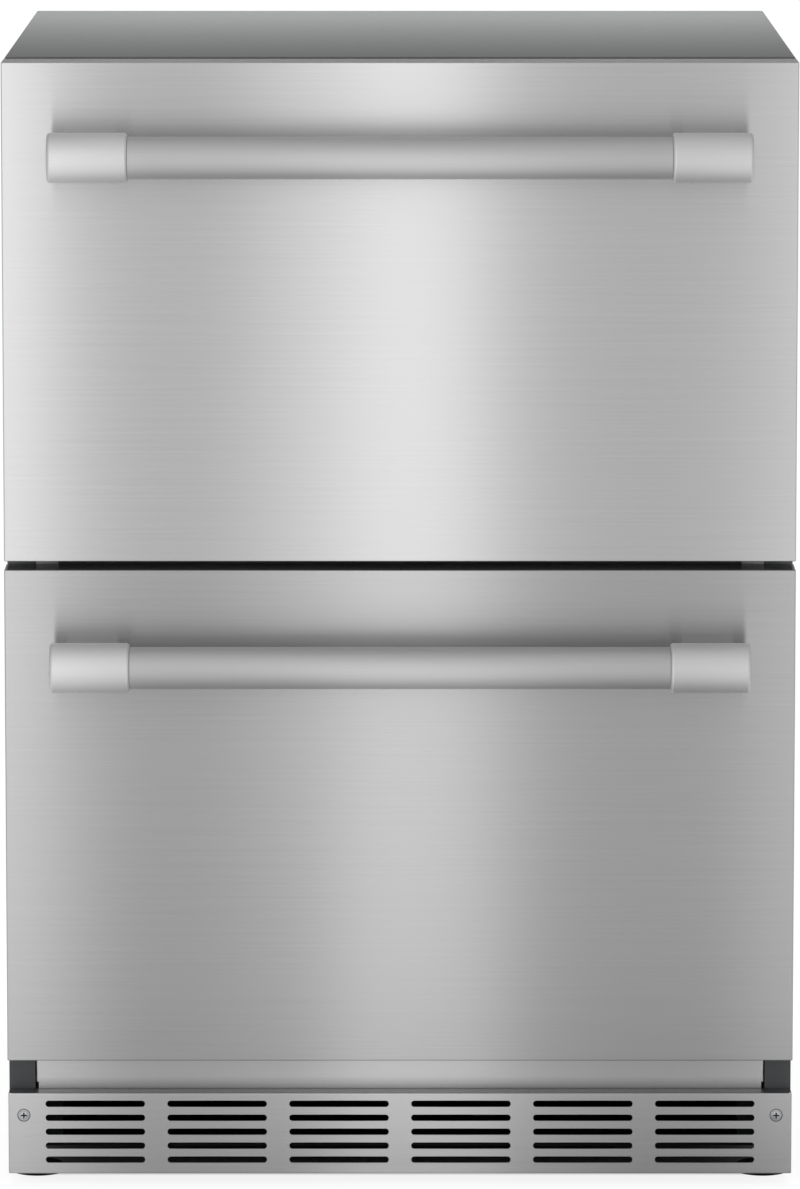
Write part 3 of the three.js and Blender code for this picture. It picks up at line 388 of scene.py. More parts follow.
def brushed_steel(name, dark, light, roughness, spread, grain):
    """Stainless steel brushed along X. The grain smears reflections up and down. The scratches are
    drawn about 1 mm apart, coarser than the real 0.1 mm, so that they show."""
    made, tree, shader, mm = surface(name, light, 1.0, roughness, Anisotropic=1.0)
    tangent = add(tree, "ShaderNodeTangent", direction_type="RADIAL", axis="X")
    tree.links.new(tangent.outputs[0], shader.inputs["Tangent"])
    scratches = add(tree, "ShaderNodeTexNoise", {
        "Vector": stretched(tree, mm, grain), "Scale": 1.0, "Detail": 3.0, "Roughness": 0.6})
    tint(tree, shader, scratches, dark, light)
    roughen(tree, shader, scratches, roughness - spread, roughness + spread)
    emboss(tree, shader, scratches, 0.00002, 0.25)
    return made


SHEET_GRAIN = (160, 40, 1.1)
stainless = brushed_steel(
    "brushed_stainless_sheet", "A7A7A7", "B1B1B1", 0.23, 0.02, SHEET_GRAIN)
# A darker copy of the same steel for the lower front: painted shade, as the lower front gets less
# light than the upper one.
shaded_stainless = brushed_steel(
    "brushed_stainless_painted_shade", "989898", "A3A3A3", 0.23, 0.02, SHEET_GRAIN)

BEND = 0.9 * MM
SHEET = 0.8 * MM
HEM = 6 * MM


def folded_pan(name, low, high, sheet, hem=0):
    """A sheet folded back on its four sides, open behind or with a hem turned in round the back."""
    pan = block(name, low, high)
    choose(pan, "FACE", lambda at, normal: normal.y > 0.5)
    if hem:
        bpy.ops.mesh.inset(thickness=hem)
    bpy.ops.mesh.delete(type="FACE")

    def outer(end):
        return abs(end.x) > high.x - MM and not low.z + MM < end.z < high.z - MM

    ease(pan, BEND, 4,
         lambda a, b: min(a.y, b.y) < low.y + MM or (hem > 0 and outer(a) and outer(b)))
    thicken(pan, sheet)
    return pan


for drawer in ("upper", "lower"):
    skin = folded_pan(f"{drawer}_drawer_front", *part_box(f"{drawer}_front_skin"), SHEET, HEM)
    sheet = stainless if drawer == "upper" else shaded_stainless
    finish(skin, f"{drawer}_drawer", "brushed_stainless", sheet, f"{drawer}_front_skin")


# ---- Handles ----
# A 32 mm stainless tube brushed along its length, held at each end in the bore of a turned sleeve
# with rounded ends. A lower neck behind each sleeve, hidden from the front, meets the drawer.
BAR_WALL = 2 * MM
BORE = 16 * MM
CAP_EDGE = 2.6 * MM
CAP_FIT = 0.3 * MM
CAP_SOCKET = 15 * MM
NECK_HIGH = 22 * MM
NECK_INSET = 10 * MM
NECK_EDGE = 3 * MM
tube_steel = brushed_steel("brushed_stainless_tube", "ABABAB", "B5B5B5", 0.36, 0.03, (60, 0.9, 0.9))
satin = brushed_steel("satin_stainless_sleeve", "C2C2C2", "CBCBCB", 0.36, 0.02, (30, 0.9, 0.9))


def open_up(piece, test):
    """Takes away the faces that pass a test of their middle and their normal."""
    choose(piece, "FACE", test)
    bpy.ops.mesh.delete(type="FACE")


def along(axis):
    """The test for edges that run along an axis."""
    return lambda a, b: abs(a[axis] - b[axis]) > MM


def across(axis):
    """The test for edges that run round an axis."""
    return lambda a, b: abs(a[axis] - b[axis]) < MM / 10


def round_bar(name, radius, start, end, sides=64):
    """A round bar between two points of its axis."""
    way = Vector(end) - Vector(start)
    bpy.ops.mesh.primitive_cylinder_add(
        vertices=sides, radius=radius, depth=way.length, location=(Vector(start) + Vector(end)) / 2,
        rotation=way.to_track_quat("Z", "Y").to_euler())
    return placed(name)


def cut(piece, tool, operation="DIFFERENCE"):
    """Cuts a piece by a tool, or joins the two, and throws the tool away."""
    modify(piece, "BOOLEAN", object=tool, operation=operation, solver="EXACT")
    bpy.data.objects.remove(tool)


for drawer in ("upper", "lower"):
    low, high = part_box(f"{drawer}_handle_bar")
    axis = (low + high) / 2
    bar = round_bar(f"{drawer}_handle_tube", (high.z - low.z) / 2,
                    (low.x, axis.y, axis.z), (high.x, axis.y, axis.z))
    open_up(bar, lambda at, normal: abs(normal.x) > 0.9)
    close(bar)
    modify(bar, "SOLIDIFY", thickness=BAR_WALL, offset=-1)
    finish(bar, f"{drawer}_drawer", "satin_stainless_handle", tube_steel, f"{drawer}_handle_bar")
    for side in ("left", "right"):
        node = f"{drawer}_handle_cap_{side}"
        low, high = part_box(node)
        cap = round_bar(f"{node}_sleeve", (high.z - low.z) / 2,
                        (low.x, axis.y, axis.z), (high.x, axis.y, axis.z), 72)
        ease(cap, CAP_EDGE, 5, across(X))
        neck = block("neck", (low.x + NECK_INSET, axis.y, axis.z - NECK_HIGH / 2),
                     (high.x - NECK_INSET, high.y, axis.z + NECK_HIGH / 2))
        ease(neck, NECK_EDGE, 4, along(Y))
        cut(cap, neck, "UNION")
        inward = 1 if side == "left" else -1
        inner = high.x if side == "left" else low.x
        cut(cap, round_bar("bore", BORE + CAP_FIT, (inner - inward * CAP_SOCKET, axis.y, axis.z),
                           (inner + inward * MM, axis.y, axis.z)))
        finish(cap, f"{drawer}_drawer", "satin_stainless_handle", satin, node)


# ---- Toe grille ----
# A stainless plate folded like the fronts and punched with five rows of round-ended slots in six
# columns. Two pan-head screws in shallow seats hold it to the corner posts.
SLOT_LONG = 77 * MM
SLOT_HIGH = 5.1 * MM
SLOT_COLUMNS = 6
SLOT_ROWS = 5
COLUMN_PITCH = 94.3 * MM
ROW_PITCH = 11 * MM
LOWEST_SLOT = 11 * MM
GRILLE_SHEET = 0.8 * MM
GRILLE_LIP = 2 * MM
SCREW_SEAT = 1 * MM
SEAT_EDGE = 0.5 * MM
SHEET_EDGE = 0.3 * MM


def soften(piece, width, segments, angle):
    """Rounds every edge that is sharper than an angle in degrees."""
    modify(piece, "BEVEL", width=width, segments=segments, limit_method="ANGLE",
           angle_limit=math.radians(angle))


def repeat(piece, count, step):
    """Copies a piece in a row, each copy a step from the last."""
    modify(piece, "ARRAY", count=count, use_relative_offset=False, use_constant_offset=True,
           constant_offset_displace=step)


def slot_row(long, high, x, z, front, back, count, pitch):
    """A row of round-ended slots to cut with, the first with its middle at x and z."""
    row = round_bar("slots", high / 2, (x, front, z), (x, back, z), 26)
    for side in (-1, 1):
        choose(row, "VERT", lambda at: (at.x - x) * side > MM / 10)
        bpy.ops.transform.translate(value=(side * (long - high) / 2, 0, 0))
    close(row)
    repeat(row, count, (pitch, 0, 0))
    return row


low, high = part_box("toe_grille")
grille = folded_pan("toe_grille_plate", low, high, GRILLE_SHEET)
cut(grille, block("above", (low.x + GRILLE_SHEET, low.y + GRILLE_LIP, high.z - 3 * MM),
                  (high.x - GRILLE_SHEET, high.y + MM, high.z + MM)))
slots = slot_row(SLOT_LONG, SLOT_HIGH, -COLUMN_PITCH * (SLOT_COLUMNS - 1) / 2, low.z + LOWEST_SLOT,
                 low.y - MM, low.y + 3 * MM, SLOT_COLUMNS, COLUMN_PITCH)
repeat(slots, SLOT_ROWS, (0, 0, ROW_PITCH))
cut(grille, slots)
for side in ("left", "right"):
    start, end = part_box(f"grille_screw_{side}")
    axis = (start + end) / 2
    cut(grille, round_bar("seat", (end.z - start.z) / 2 + SEAT_EDGE, (axis.x, low.y - MM, axis.z),
                          (axis.x, low.y + SCREW_SEAT, axis.z), 48))
soften(grille, SHEET_EDGE, 2, 50)
finish(grille, "cabinet", "brushed_stainless", stainless, "toe_grille")


# ---- Cabinet shell ----
# The top and sides are one sheet of steel folded over two tight bends, with a flange turned in round
# the opening. A textured grey powder coat covers it.
FOLD = 2 * MM
FLANGE_WIDE = 22 * MM
FLANGE_BASE = 97 * MM

coated, tree, shader, mm = surface(
    "textured_grey_powder_coat", "6D6F6E", 0.0, 0.55, Specular_IOR_Level=0.2)
mottle = add(tree, "ShaderNodeTexNoise", {
    "Vector": stretched(tree, mm, (9, 9, 9)), "Scale": 1.0, "Detail": 4.0, "Roughness": 0.6})
tint(tree, shader, mottle, "666867", "767877")
orange_peel = add(tree, "ShaderNodeTexNoise", {
    "Vector": stretched(tree, mm, (1.4, 1.4, 1.4)), "Scale": 1.0, "Detail": 2.0})
roughen(tree, shader, orange_peel, 0.48, 0.58)
emboss(tree, shader, orange_peel, 0.00008, 0.35)

low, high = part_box("outer_shell")
shell = block("cabinet_shell", low, high)
open_up(shell, lambda at, normal: normal.z < -0.5 or normal.y > 0.5)
choose(shell, "FACE", lambda at, normal: normal.y < -0.5)
bpy.ops.mesh.inset(thickness=FLANGE_WIDE, use_boundary=False)
open_up(shell, lambda at, normal: normal.y < -0.5 and abs(at.x) < 0.2 and at.z < 0.6)
close(shell)
ease(shell, FOLD, 4, lambda a, b: min(a.z, b.z) > high.z - MM and abs(a.x - b.x) < MM)
thicken(shell, SHEET)
for side in (-1, 1):
    middle = side * (high.x - SHEET - FLANGE_WIDE / 2)
    cut(shell, block("below", (middle - FLANGE_WIDE / 2, low.y - MM, low.z - MM),
                     (middle + FLANGE_WIDE / 2, low.y + SHEET, FLANGE_BASE)))
finish(shell, "cabinet", "coated_steel", coated, "outer_shell")


def dress(node, name, width=0.0, segments=2):
    """A copy of a solid with its triangles merged into whole faces and its edges eased."""
    piece = bpy.data.objects.new(name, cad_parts[node].data.copy())
    bpy.context.scene.collection.objects.link(piece)
    pick(piece)
    close(piece)
    choose(piece, "FACE", lambda at, normal: True)
    bpy.ops.mesh.dissolve_limited(angle_limit=math.radians(1))
    close(piece)
    if width:
        soften(piece, width, segments, 40)
    smooth(piece)
    return piece


crossbar = dress("mullion", "drawer_crossbar", 1.2 * MM, 3)
mount(crossbar, "cabinet", "coated_steel", coated, "mullion")


# ---- Corner posts ----
# Dark grey moulded posts behind the grille's ends, each with a ledge over the grille and a boss that
# takes its screw. The mould leaves a fine spark-eroded texture.
POST_EDGE = 0.8 * MM


def mottled(name, dark, light, metallic, gloss, grain, detail, **sockets):
    """A material whose colour and roughness vary in patches of a size in millimetres."""
    made, tree, shader, mm = surface(name, light, metallic, sum(gloss) / 2, **sockets)
    patches = add(tree, "ShaderNodeTexNoise", {
        "Vector": stretched(tree, mm, grain), "Scale": 1.0, "Detail": detail})
    tint(tree, shader, patches, dark, light)
    roughen(tree, shader, patches, *gloss)
    return made, tree, shader, patches


moulded, tree, shader, grain = mottled(
    "dark_moulded_abs", "3A3D3F", "46494B", 0.0, (0.40, 0.52), (0.8, 0.8, 0.8), 2.0)
emboss(tree, shader, grain, 0.00004, 0.4)
for side in ("left", "right"):
    post = dress(f"corner_post_{side}", f"corner_post_{side}_moulding", POST_EDGE, 3)
    mount(post, "cabinet", "dark_plastic", moulded, f"corner_post_{side}")


# ---- Rail trim ----
# A stainless strip between the posts. Its foot is bent forward into a ledge over the grille and its
# ends are bent back, with a relief notch in each corner where the two bends would meet.
RAIL_SHEET = 1.2 * MM
RAIL_BEND = 2.3 * MM
RAIL_FILLET = 0.5 * MM
RAIL_FIT = 0.3 * MM
PAINTED_SHADE_REACH = 9 * MM
RAIL_NOTCH = 5 * MM


def pull(piece, kind, test, move):
    """Extrudes the faces, edges or corners that pass a test."""
    choose(piece, kind, test)
    bpy.ops.mesh.extrude_region_move(TRANSFORM_OT_translate={"value": move})
    bpy.ops.object.mode_set(mode="OBJECT")


low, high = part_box("rail_trim")
rail_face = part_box("toe_grille")[1].y + RAIL_FIT
ledge_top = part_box("toe_grille")[1].z
strip = block("rail_trim_strip", (low.x, rail_face, ledge_top), high)
open_up(strip, lambda at, normal: abs(normal.z) > 0.5 or normal.y > 0.5)
ease(strip, RAIL_BEND, 6, lambda a, b: abs(a.z - b.z) > MM and a.y < rail_face + MM)
pull(strip, "EDGE", lambda a, b: max(a.z, b.z) < ledge_top + MM / 10 and abs(a.x - b.x) > 0.1,
     (0, -RAIL_FILLET, 0))
pull(strip, "EDGE", lambda a, b: max(a.y, b.y) < rail_face - RAIL_FILLET / 2
     and abs(a.x - b.x) > 0.1, (0, low.y - rail_face + RAIL_FILLET, 0))
for side in (-1, 1):
    pull(strip, "EDGE", lambda a, b: min(a.x * side, b.x * side) > 0.1
         and max(a.y, b.y) < rail_face - RAIL_FILLET / 2 and abs(a.y - b.y) > MM,
         (side * RAIL_BEND, 0, 0))
ease(strip, RAIL_FILLET * 0.95, 3, lambda a, b: abs(a.x - b.x) > 0.1
     and abs(a.y - rail_face) + abs(b.y - rail_face) < MM / 10
     and max(a.z, b.z) < ledge_top + MM / 10)
thicken(strip, RAIL_SHEET)
for side in (-1, 1):
    ends = sorted((side * (high.x - RAIL_BEND), side * (high.x + MM)))
    cut(strip, block("notch", (ends[0], rail_face - MM, ledge_top - 2 * MM),
                     (ends[1], high.y + MM, ledge_top + RAIL_NOTCH)))
smooth(strip)

# The foot of the strip over its ledge is darkened in its colour, where light from the floor hardly
# reaches: painted shade.
trim_steel = brushed_steel("brushed_stainless_trim", "AAAAAA", "B4B4B4", 0.23, 0.02, SHEET_GRAIN)
tree = trim_steel.node_tree
shader = tree.nodes["Principled BSDF"]
part = add(tree, "ShaderNodeSeparateXYZ", {0: add(tree, "ShaderNodeTexCoord").outputs["Object"]})
low_down = add(tree, "ShaderNodeMapRange", {
    "Value": part.outputs["Z"], "From Min": ledge_top, "From Max": ledge_top + PAINTED_SHADE_REACH,
    "To Min": 0.0, "To Max": 1.0})
on_ledge = add(tree, "ShaderNodeMapRange", {
    "Value": part.outputs["Y"], "From Min": rail_face - 2 * MM, "From Max": rail_face - MM,
    "To Min": 1.0, "To Max": 0.0})
unshaded = add(tree, "ShaderNodeMath", {0: low_down, 1: on_ledge}, operation="MAXIMUM")
steel = shader.inputs["Base Color"].links[0].from_socket
shade_tint = add(tree, "ShaderNodeMix", {
    0: 1.0, 6: steel, 7: linear("CDCDCD")}, data_type="RGBA", blend_type="MULTIPLY")
shade = add(tree, "ShaderNodeMix", {0: unshaded, 6: shade_tint.outputs[2], 7: steel}, data_type="RGBA")
tree.links.new(shade.outputs[2], shader.inputs["Base Color"])
mount(strip, "cabinet", "brushed_stainless", trim_steel, "rail_trim")


# ---- Grille screws ----
# Zinc-plated pan-head screws, 4 mm, with a cross recess, that hold the grille to its posts.
HEAD_ROUND = 1.2 * MM
CROSS_LONG = 2.4 * MM
CROSS_WIDE = 0.6 * MM
CROSS_DEEP = 1.6 * MM
COLLAR = 0.7 * MM
DOME = 3.6 * MM
HEAD_HIGH = 2 * MM
SCREW_CORE = 1.6 * MM
THREAD_PITCH = 1.4 * MM


def above(axis, level):
    """The test for edges whose two ends lie at or over a level of an axis."""
    return lambda a, b: min(a[axis], b[axis]) > level - MM / 10


def below(axis, level):
    """The test for edges whose two ends lie at or under a level of an axis."""
    return lambda a, b: max(a[axis], b[axis]) < level + MM / 10


def fused(piece, *others):
    """Joins other pieces to one without changing their shapes."""
    pick(piece, *others)
    bpy.ops.object.join()


def coarse_thread(name, core, crest, pitch, start, end):
    """A screw thread from one point of its axis to another: a V-shaped rib wound round the core."""
    way = Vector(end) - Vector(start)
    bpy.ops.mesh.primitive_plane_add(size=1)
    rib = placed(name)
    choose(rib, "FACE", lambda at, normal: True)
    bpy.ops.mesh.delete(type="ONLY_FACE")
    choose(rib, "VERT", lambda at: at.x > 0 and at.y > 0)
    bpy.ops.mesh.delete(type="VERT")
    bpy.ops.object.mode_set(mode="OBJECT")
    corners = ((core, 0, 0), (crest, 0, pitch / 2), (core, 0, pitch))
    outline = sorted(rib.data.vertices, key=lambda vert: (vert.co.x + vert.co.y, vert.co.x))
    for vert, place in zip(outline, corners):
        vert.co = place
    modify(rib, "SCREW", angle=2 * math.pi, screw_offset=pitch, steps=16, render_steps=16,
           iterations=int(way.length / pitch) - 1, use_merge_vertices=True, merge_threshold=MERGE)
    rib.matrix_world = Matrix.Translation(start) @ way.to_track_quat("Z", "Y").to_matrix().to_4x4()
    bpy.ops.object.transform_apply()
    return rib


screw_zinc = mottled(
    "bright_zinc_screw", "ABADAE", "C4C6C7", 1.0, (0.26, 0.42), (1.5, 1.5, 1.5), 3.0)[0]
# The cross recess gets a dark colour of its own: painted shade in the recess.
recess_shade, tree, shader, mm = surface("painted_shade_in_the_recess", "2C2D2E", 0.3, 0.6)
recess_mottle = add(tree, "ShaderNodeTexNoise", {
    "Vector": stretched(tree, mm, (0.5, 0.5, 0.5)), "Scale": 1.0})
tint(tree, shader, recess_mottle, "1F2021", "3B3C3D")
for side in ("left", "right"):
    node = f"grille_screw_{side}"
    low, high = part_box(node)
    axis = (low + high) / 2
    under = low.y + HEAD_HIGH
    screw = round_bar(
        f"{node}_pan_head", DOME, (axis.x, low.y, axis.z), (axis.x, under, axis.z), 48)
    ease(screw, HEAD_ROUND, 4, below(Y, low.y))
    collar = round_bar("collar", (high.z - low.z) / 2, (axis.x, under - COLLAR, axis.z),
                       (axis.x, under, axis.z), 48)
    ease(collar, COLLAR / 2, 3, below(Y, under - COLLAR))
    cut(screw, collar, "UNION")
    for long_x, long_z in ((CROSS_LONG, CROSS_WIDE), (CROSS_WIDE, CROSS_LONG)):
        cut(screw, block("blade", (axis.x - long_x, low.y - MM, axis.z - long_z),
                         (axis.x + long_x, low.y + CROSS_DEEP, axis.z + long_z)))
    shank = round_bar(
        "shank", SCREW_CORE, (axis.x, under - MM / 2, axis.z), (axis.x, high.y, axis.z), 24)
    ease(shank, MM, 1, above(Y, high.y))
    thread = coarse_thread("thread", SCREW_CORE - 0.1 * MM, 2 * MM, THREAD_PITCH,
                           (axis.x, under + 4 * MM, axis.z), (axis.x, high.y - MM, axis.z))
    fused(screw, shank, thread)
    finish(screw, "cabinet", "satin_stainless_handle", screw_zinc, node)
    # The faces inside the cross take that dark colour: painted shade.
    screw.data.materials.append(recess_shade)
    for face in screw.data.polygons:
        off_x, off_z = abs(face.center.x - axis.x), abs(face.center.z - axis.z)
        in_cross = min(off_x, off_z) < CROSS_WIDE * 1.05 and max(off_x, off_z) < CROSS_LONG * 1.05
        if in_cross and low.y + MM / 10 < face.center.y < under:
            face.material_index = 1


# ---- Galvanised back ----
# Hot-dip galvanised sheet, whose zinc froze into crystals a centimetre wide: a flat back panel held
# by countersunk screws, and the machine cover, pressed out into louvre hoods over its slots.
LOUVRE_LONG = 116 * MM
LOUVRE_HIGH = 11 * MM
LOUVRE_DEEP = 3.6 * MM
LOUVRE_SHEET = 0.8 * MM
LOUVRE_COLUMNS = 3
LOUVRE_ROWS = 5
LOUVRE_COLUMN_PITCH = 150 * MM
LOUVRE_ROW_PITCH = 16 * MM
PANEL_SCREW = 7 * MM
PANEL_DOME = 0.6 * MM
PANEL_SINK = 0.7 * MM
PANEL_SCREW_INSET = 9 * MM
COVER_SCREW = 9 * MM
COVER_DOME = 2.4 * MM
COVER_SCREW_END = 20 * MM
INLET_PROUD = 2.3 * MM
FIRST_COLUMN = 55 * MM
FIRST_ROW = 36.5 * MM
# Shares of a screw head's width and height: its cross, the cross's depth and the rounding.
CROSS_ARM, CROSS_ACROSS, CROSS_SINK, HEAD_DOME = 0.27, 0.07, 0.7, 0.8

galvanised, tree, shader, mm = surface("hot_dip_galvanised_sheet", "A9ACAE", 1.0, 0.42)
spangle = add(tree, "ShaderNodeTexVoronoi", {
    "Vector": stretched(tree, mm, (9, 9, 9)), "Scale": 1.0, "Randomness": 1.0})
crystal = add(tree, "ShaderNodeSeparateColor", {0: spangle.outputs["Color"]})
tint(tree, shader, crystal.outputs["Red"], "A0A3A5", "B0B3B5")
roughen(tree, shader, crystal.outputs["Green"], 0.38, 0.48)


def screws(name, places, wide, dome):
    """Round screw heads with a cross recess and their crowns towards +Y, as one piece."""
    heads = []
    for x, seat, z in places:
        crown = seat + dome
        head = round_bar(name, wide / 2, (x, seat, z), (x, crown, z), 32)
        ease(head, dome * HEAD_DOME, 3, above(Y, crown))
        for arm, half in ((CROSS_ARM, CROSS_ACROSS), (CROSS_ACROSS, CROSS_ARM)):
            cut(head, block("blade", (x - wide * arm, crown - dome * CROSS_SINK, z - wide * half),
                            (x + wide * arm, crown + MM, z + wide * half)))
        heads.append(head)
    fused(*heads)
    finish(heads[0], "cabinet", "zinc_steel", screw_zinc)


low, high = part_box("back_panel")
back = dress("back_panel", "back_panel_sheet", SHEET_EDGE)
xs = [low.x + PANEL_SCREW_INSET, low.x / 3, high.x / 3, high.x - PANEL_SCREW_INSET]
sunk = high.y - PANEL_SINK
zs = [low.z + PANEL_SCREW_INSET, high.z - PANEL_SCREW_INSET]
places = [(x, sunk, z) for x in xs for z in zs]
places += [(x, sunk, (low.z + high.z) / 2) for x in (xs[0], xs[-1])]
for x, y, z in places:
    cut(back, round_bar("seat", PANEL_SCREW / 2 + PANEL_DOME, (x, y, z), (x, high.y + MM, z), 32))
finish(back, "cabinet", "zinc_steel", galvanised, "back_panel")
screws("back_panel_screws", places, PANEL_SCREW, PANEL_DOME)

low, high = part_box("machine_cover")
inlet_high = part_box("power_inlet")[1]
plate_y = inlet_high.y - INLET_PROUD
cover = dress("machine_cover", "machine_cover_sheet")
first_x = inlet_high.x + LOUVRE_COLUMN_PITCH - FIRST_COLUMN
first_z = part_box("outer_shell")[0].z + FIRST_ROW
hood = block("hood", (first_x - LOUVRE_LONG / 2, plate_y - MM / 2, first_z),
             (first_x + LOUVRE_LONG / 2, plate_y + LOUVRE_DEEP, first_z + LOUVRE_HIGH))
open_up(hood, lambda at, normal: normal.y < -0.5 or normal.z < -0.5)
ease(hood, LOUVRE_DEEP * 0.9, 4, lambda a, b: max(a.y, b.y) > plate_y + LOUVRE_DEEP - MM / 10)
thicken(hood, LOUVRE_SHEET)
repeat(hood, LOUVRE_COLUMNS, (LOUVRE_COLUMN_PITCH, 0, 0))
repeat(hood, LOUVRE_ROWS, (0, 0, LOUVRE_ROW_PITCH))
cut(cover, hood, "UNION")
finish(cover, "cabinet", "zinc_steel", galvanised, "machine_cover")
places = [(x, plate_y, z) for x in (low.x + PANEL_SCREW_INSET, high.x - PANEL_SCREW_INSET)
          for z in (low.z + COVER_SCREW_END, (low.z + high.z) / 2, high.z - COVER_SCREW_END)]
screws("machine_cover_screws", places, COVER_SCREW, COVER_DOME)


# ---- Power inlet ----
# A black moulded appliance inlet with three blades, for a mains lead that isn't shown.
black_plastic = mottled(
    "black_polypropylene", "18191A", "242527", 0.0, (0.36, 0.5), (2, 2, 2), 3.0)[0]
inlet = dress("power_inlet", "power_inlet_moulding", 0.5 * MM)
mount(inlet, "cabinet", "black_plastic", black_plastic, "power_inlet")


# ---- Base pan and stepped panel ----
# Pressed steel painted dark grey: the pan that everything stands on, with a welded nut over each
# leg, and the stepped panel that closes the foam above the machine space.
# The grey is taken nearly to black, so that what shows through the grille's slots reads as shade:
# partly the paint's own colour, partly painted shade.
painted = mottled(
    "dark_painted_steel_and_shade", "1A1C1D", "252728", 0.0, (0.62, 0.78), (3, 3, 3), 3.0,
    Specular_IOR_Level=0.12)[0]
for node in ("base_pan", "step_panel"):
    panel = dress(node, f"{node}_pressing", SHEET_EDGE)
    mount(panel, "cabinet", "dark_coated_metal", painted, node)


# ---- Levelling legs ----
# A pressed disc with a hexagon above it and a threaded stud, which screws up into the pan's nut.
LEG_DISC = 7 * MM
DISC_EDGE = 2.5 * MM
LEG_HEX = 6 * MM
LEG_HEX_ACROSS = 14 * MM
HEX_EDGE = 0.7 * MM
LEG_STUD = 4.5 * MM
LEG_PITCH = 1.5 * MM
THREAD_DEEP = 0.6 * MM

for place in ("front_left", "front_right", "rear_left", "rear_right"):
    low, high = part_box(f"leg_{place}")
    x, y = (low.x + high.x) / 2, (low.y + high.y) / 2
    hex_top = LEG_DISC + LEG_HEX
    leg = round_bar(f"leg_{place}_foot", (high.x - low.x) / 2, (x, y, 0), (x, y, LEG_DISC), 48)
    ease(leg, DISC_EDGE, 5, above(Z, LEG_DISC))
    ease(leg, MM, 3, below(Z, 0))
    hexagon = round_bar(
        "hexagon", LEG_HEX_ACROSS / 2, (x, y, LEG_DISC - MM / 2), (x, y, hex_top), 6)
    ease(hexagon, HEX_EDGE, 2, above(Z, hex_top))
    stud = round_bar(
        "stud", LEG_STUD - THREAD_DEEP, (x, y, hex_top - MM / 2), (x, y, high.z), 32)
    ease(stud, MM, 2, above(Z, high.z))
    thread = coarse_thread("thread", LEG_STUD - THREAD_DEEP - 0.1 * MM, LEG_STUD, LEG_PITCH,
                           (x, y, hex_top), (x, y, high.z - MM))
    fused(leg, hexagon, stud, thread)
    finish(leg, f"leg_{place}", "dark_coated_metal", painted, f"leg_{place}")


# ---- Slides ----
# Ball-bearing runners rolled from zinc-plated strip, in three nested members on each side of a bin:
# one screwed to the liner, one between, one on the bin.
SLIDE_SHEET = 1.2 * MM
SLIDE_BEND = 3.2 * MM
SLIDE_EDGE = 0.25 * MM

plated = mottled(
    "zinc_plated_slide_steel", "A6A9AC", "BEC1C3", 1.0, (0.28, 0.4), (1.2, 60, 1.2), 3.0)[0]
for drawer in ("upper", "lower"):
    for side, outward in (("left", -1), ("right", 1)):
        for member, body, open_way in (
            ("fixed", "cabinet", -outward), ("middle", f"{drawer}_slides", -outward),
            ("inner", f"{drawer}_drawer", outward),
        ):
            node = f"{drawer}_slide_{member}_{side}"
            low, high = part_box(node)
            rail = block(f"{node}_rail", low, high)
            open_up(rail, lambda at, normal: normal.x * open_way > 0.5 or abs(normal.y) > 0.5)
            web = low.x if open_way > 0 else high.x
            ease(rail, SLIDE_BEND, 4, lambda a, b: abs(a.y - b.y) > 0.1 and abs(a.x - web) < MM / 10)
            thicken(rail, SLIDE_SHEET)
            soften(rail, SLIDE_EDGE, 2, 60)
            finish(rail, body, "zinc_steel", plated, node)


# ---- Cabinet liner ----
# White, slightly glossy high-impact polystyrene, vacuum-formed in one piece with rounded corners. It
# steps up over the machine space, and its flange laps inside the shell's.
LINER_SHEET = 1.5 * MM
LINER_CORNER = 6 * MM
LINE_HOLE = 14 * MM
LINE_BACK = 70 * MM
MACHINE_DEEP = 230 * MM
STEP_WALL = 41.1 * MM
FIT = 0.3 * MM
BIN_GAP = 5 * MM
SUCTION_X = 60 * MM
LIQUID_X = 20 * MM

liner_white, tree, shader, waviness = mottled(
    "white_polystyrene_liner", "ECEDED", "F3F4F4", 0.0, (0.28, 0.38), (40, 40, 40), 2.0)
emboss(tree, shader, waviness, 0.0004, 0.15)


def flange_out(piece, front, inside, outside):
    """Turns the open front edge of a formed sheet outwards, from one rectangle to a wider one."""
    shift = 0.5 * MM
    pull(piece, "EDGE", lambda a, b: max(a.y, b.y) < front + MM / 10, (0, -shift, 0))
    middle_x = (inside[0] + inside[2]) / 2
    middle_z = (inside[1] + inside[3]) / 2
    for test, move in (
        (lambda at: at.x < middle_x, (outside[0] - inside[0], 0, 0)),
        (lambda at: at.x > middle_x, (outside[2] - inside[2], 0, 0)),
        (lambda at: at.z < middle_z, (0, 0, outside[1] - inside[1])),
        (lambda at: at.z > middle_z, (0, 0, outside[3] - inside[3])),
        (lambda at: True, (0, shift, 0)),
    ):
        choose(piece, "VERT", lambda at: at.y < front - shift / 2 and test(at))
        bpy.ops.transform.translate(value=move)
        bpy.ops.object.mode_set(mode="OBJECT")


low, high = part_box("cabinet_liner")
cover_low, cover_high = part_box("evaporator_cover")
wall = cover_high.x + FIT
ceiling_z = cover_high.z + FIT
floor_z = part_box("lower_bin")[0].z - BIN_GAP
step_z = cover_low.z - FIT
cabinet_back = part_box("outer_shell")[1].y
step_y = cabinet_back - MACHINE_DEEP - STEP_WALL
rear_y = high.y - LINER_SHEET
cavity = block("cabinet_liner_moulding", (-wall, low.y, floor_z), (wall, rear_y, ceiling_z))
cut(cavity, block("hump", (-wall - MM, step_y, floor_z - MM), (wall + MM, rear_y + MM, step_z)))
open_up(cavity, lambda at, normal: normal.y < -0.5 and at.y < low.y + MM)
ease(cavity, LINER_CORNER, 4, lambda a, b: max(a.y, b.y) > low.y + MM)
flange_out(cavity, low.y, (-wall, floor_z, wall, ceiling_z), (low.x, low.z, high.x, high.z))
thicken(cavity, LINER_SHEET, outwards=True)
lines_y = cabinet_back - LINE_BACK
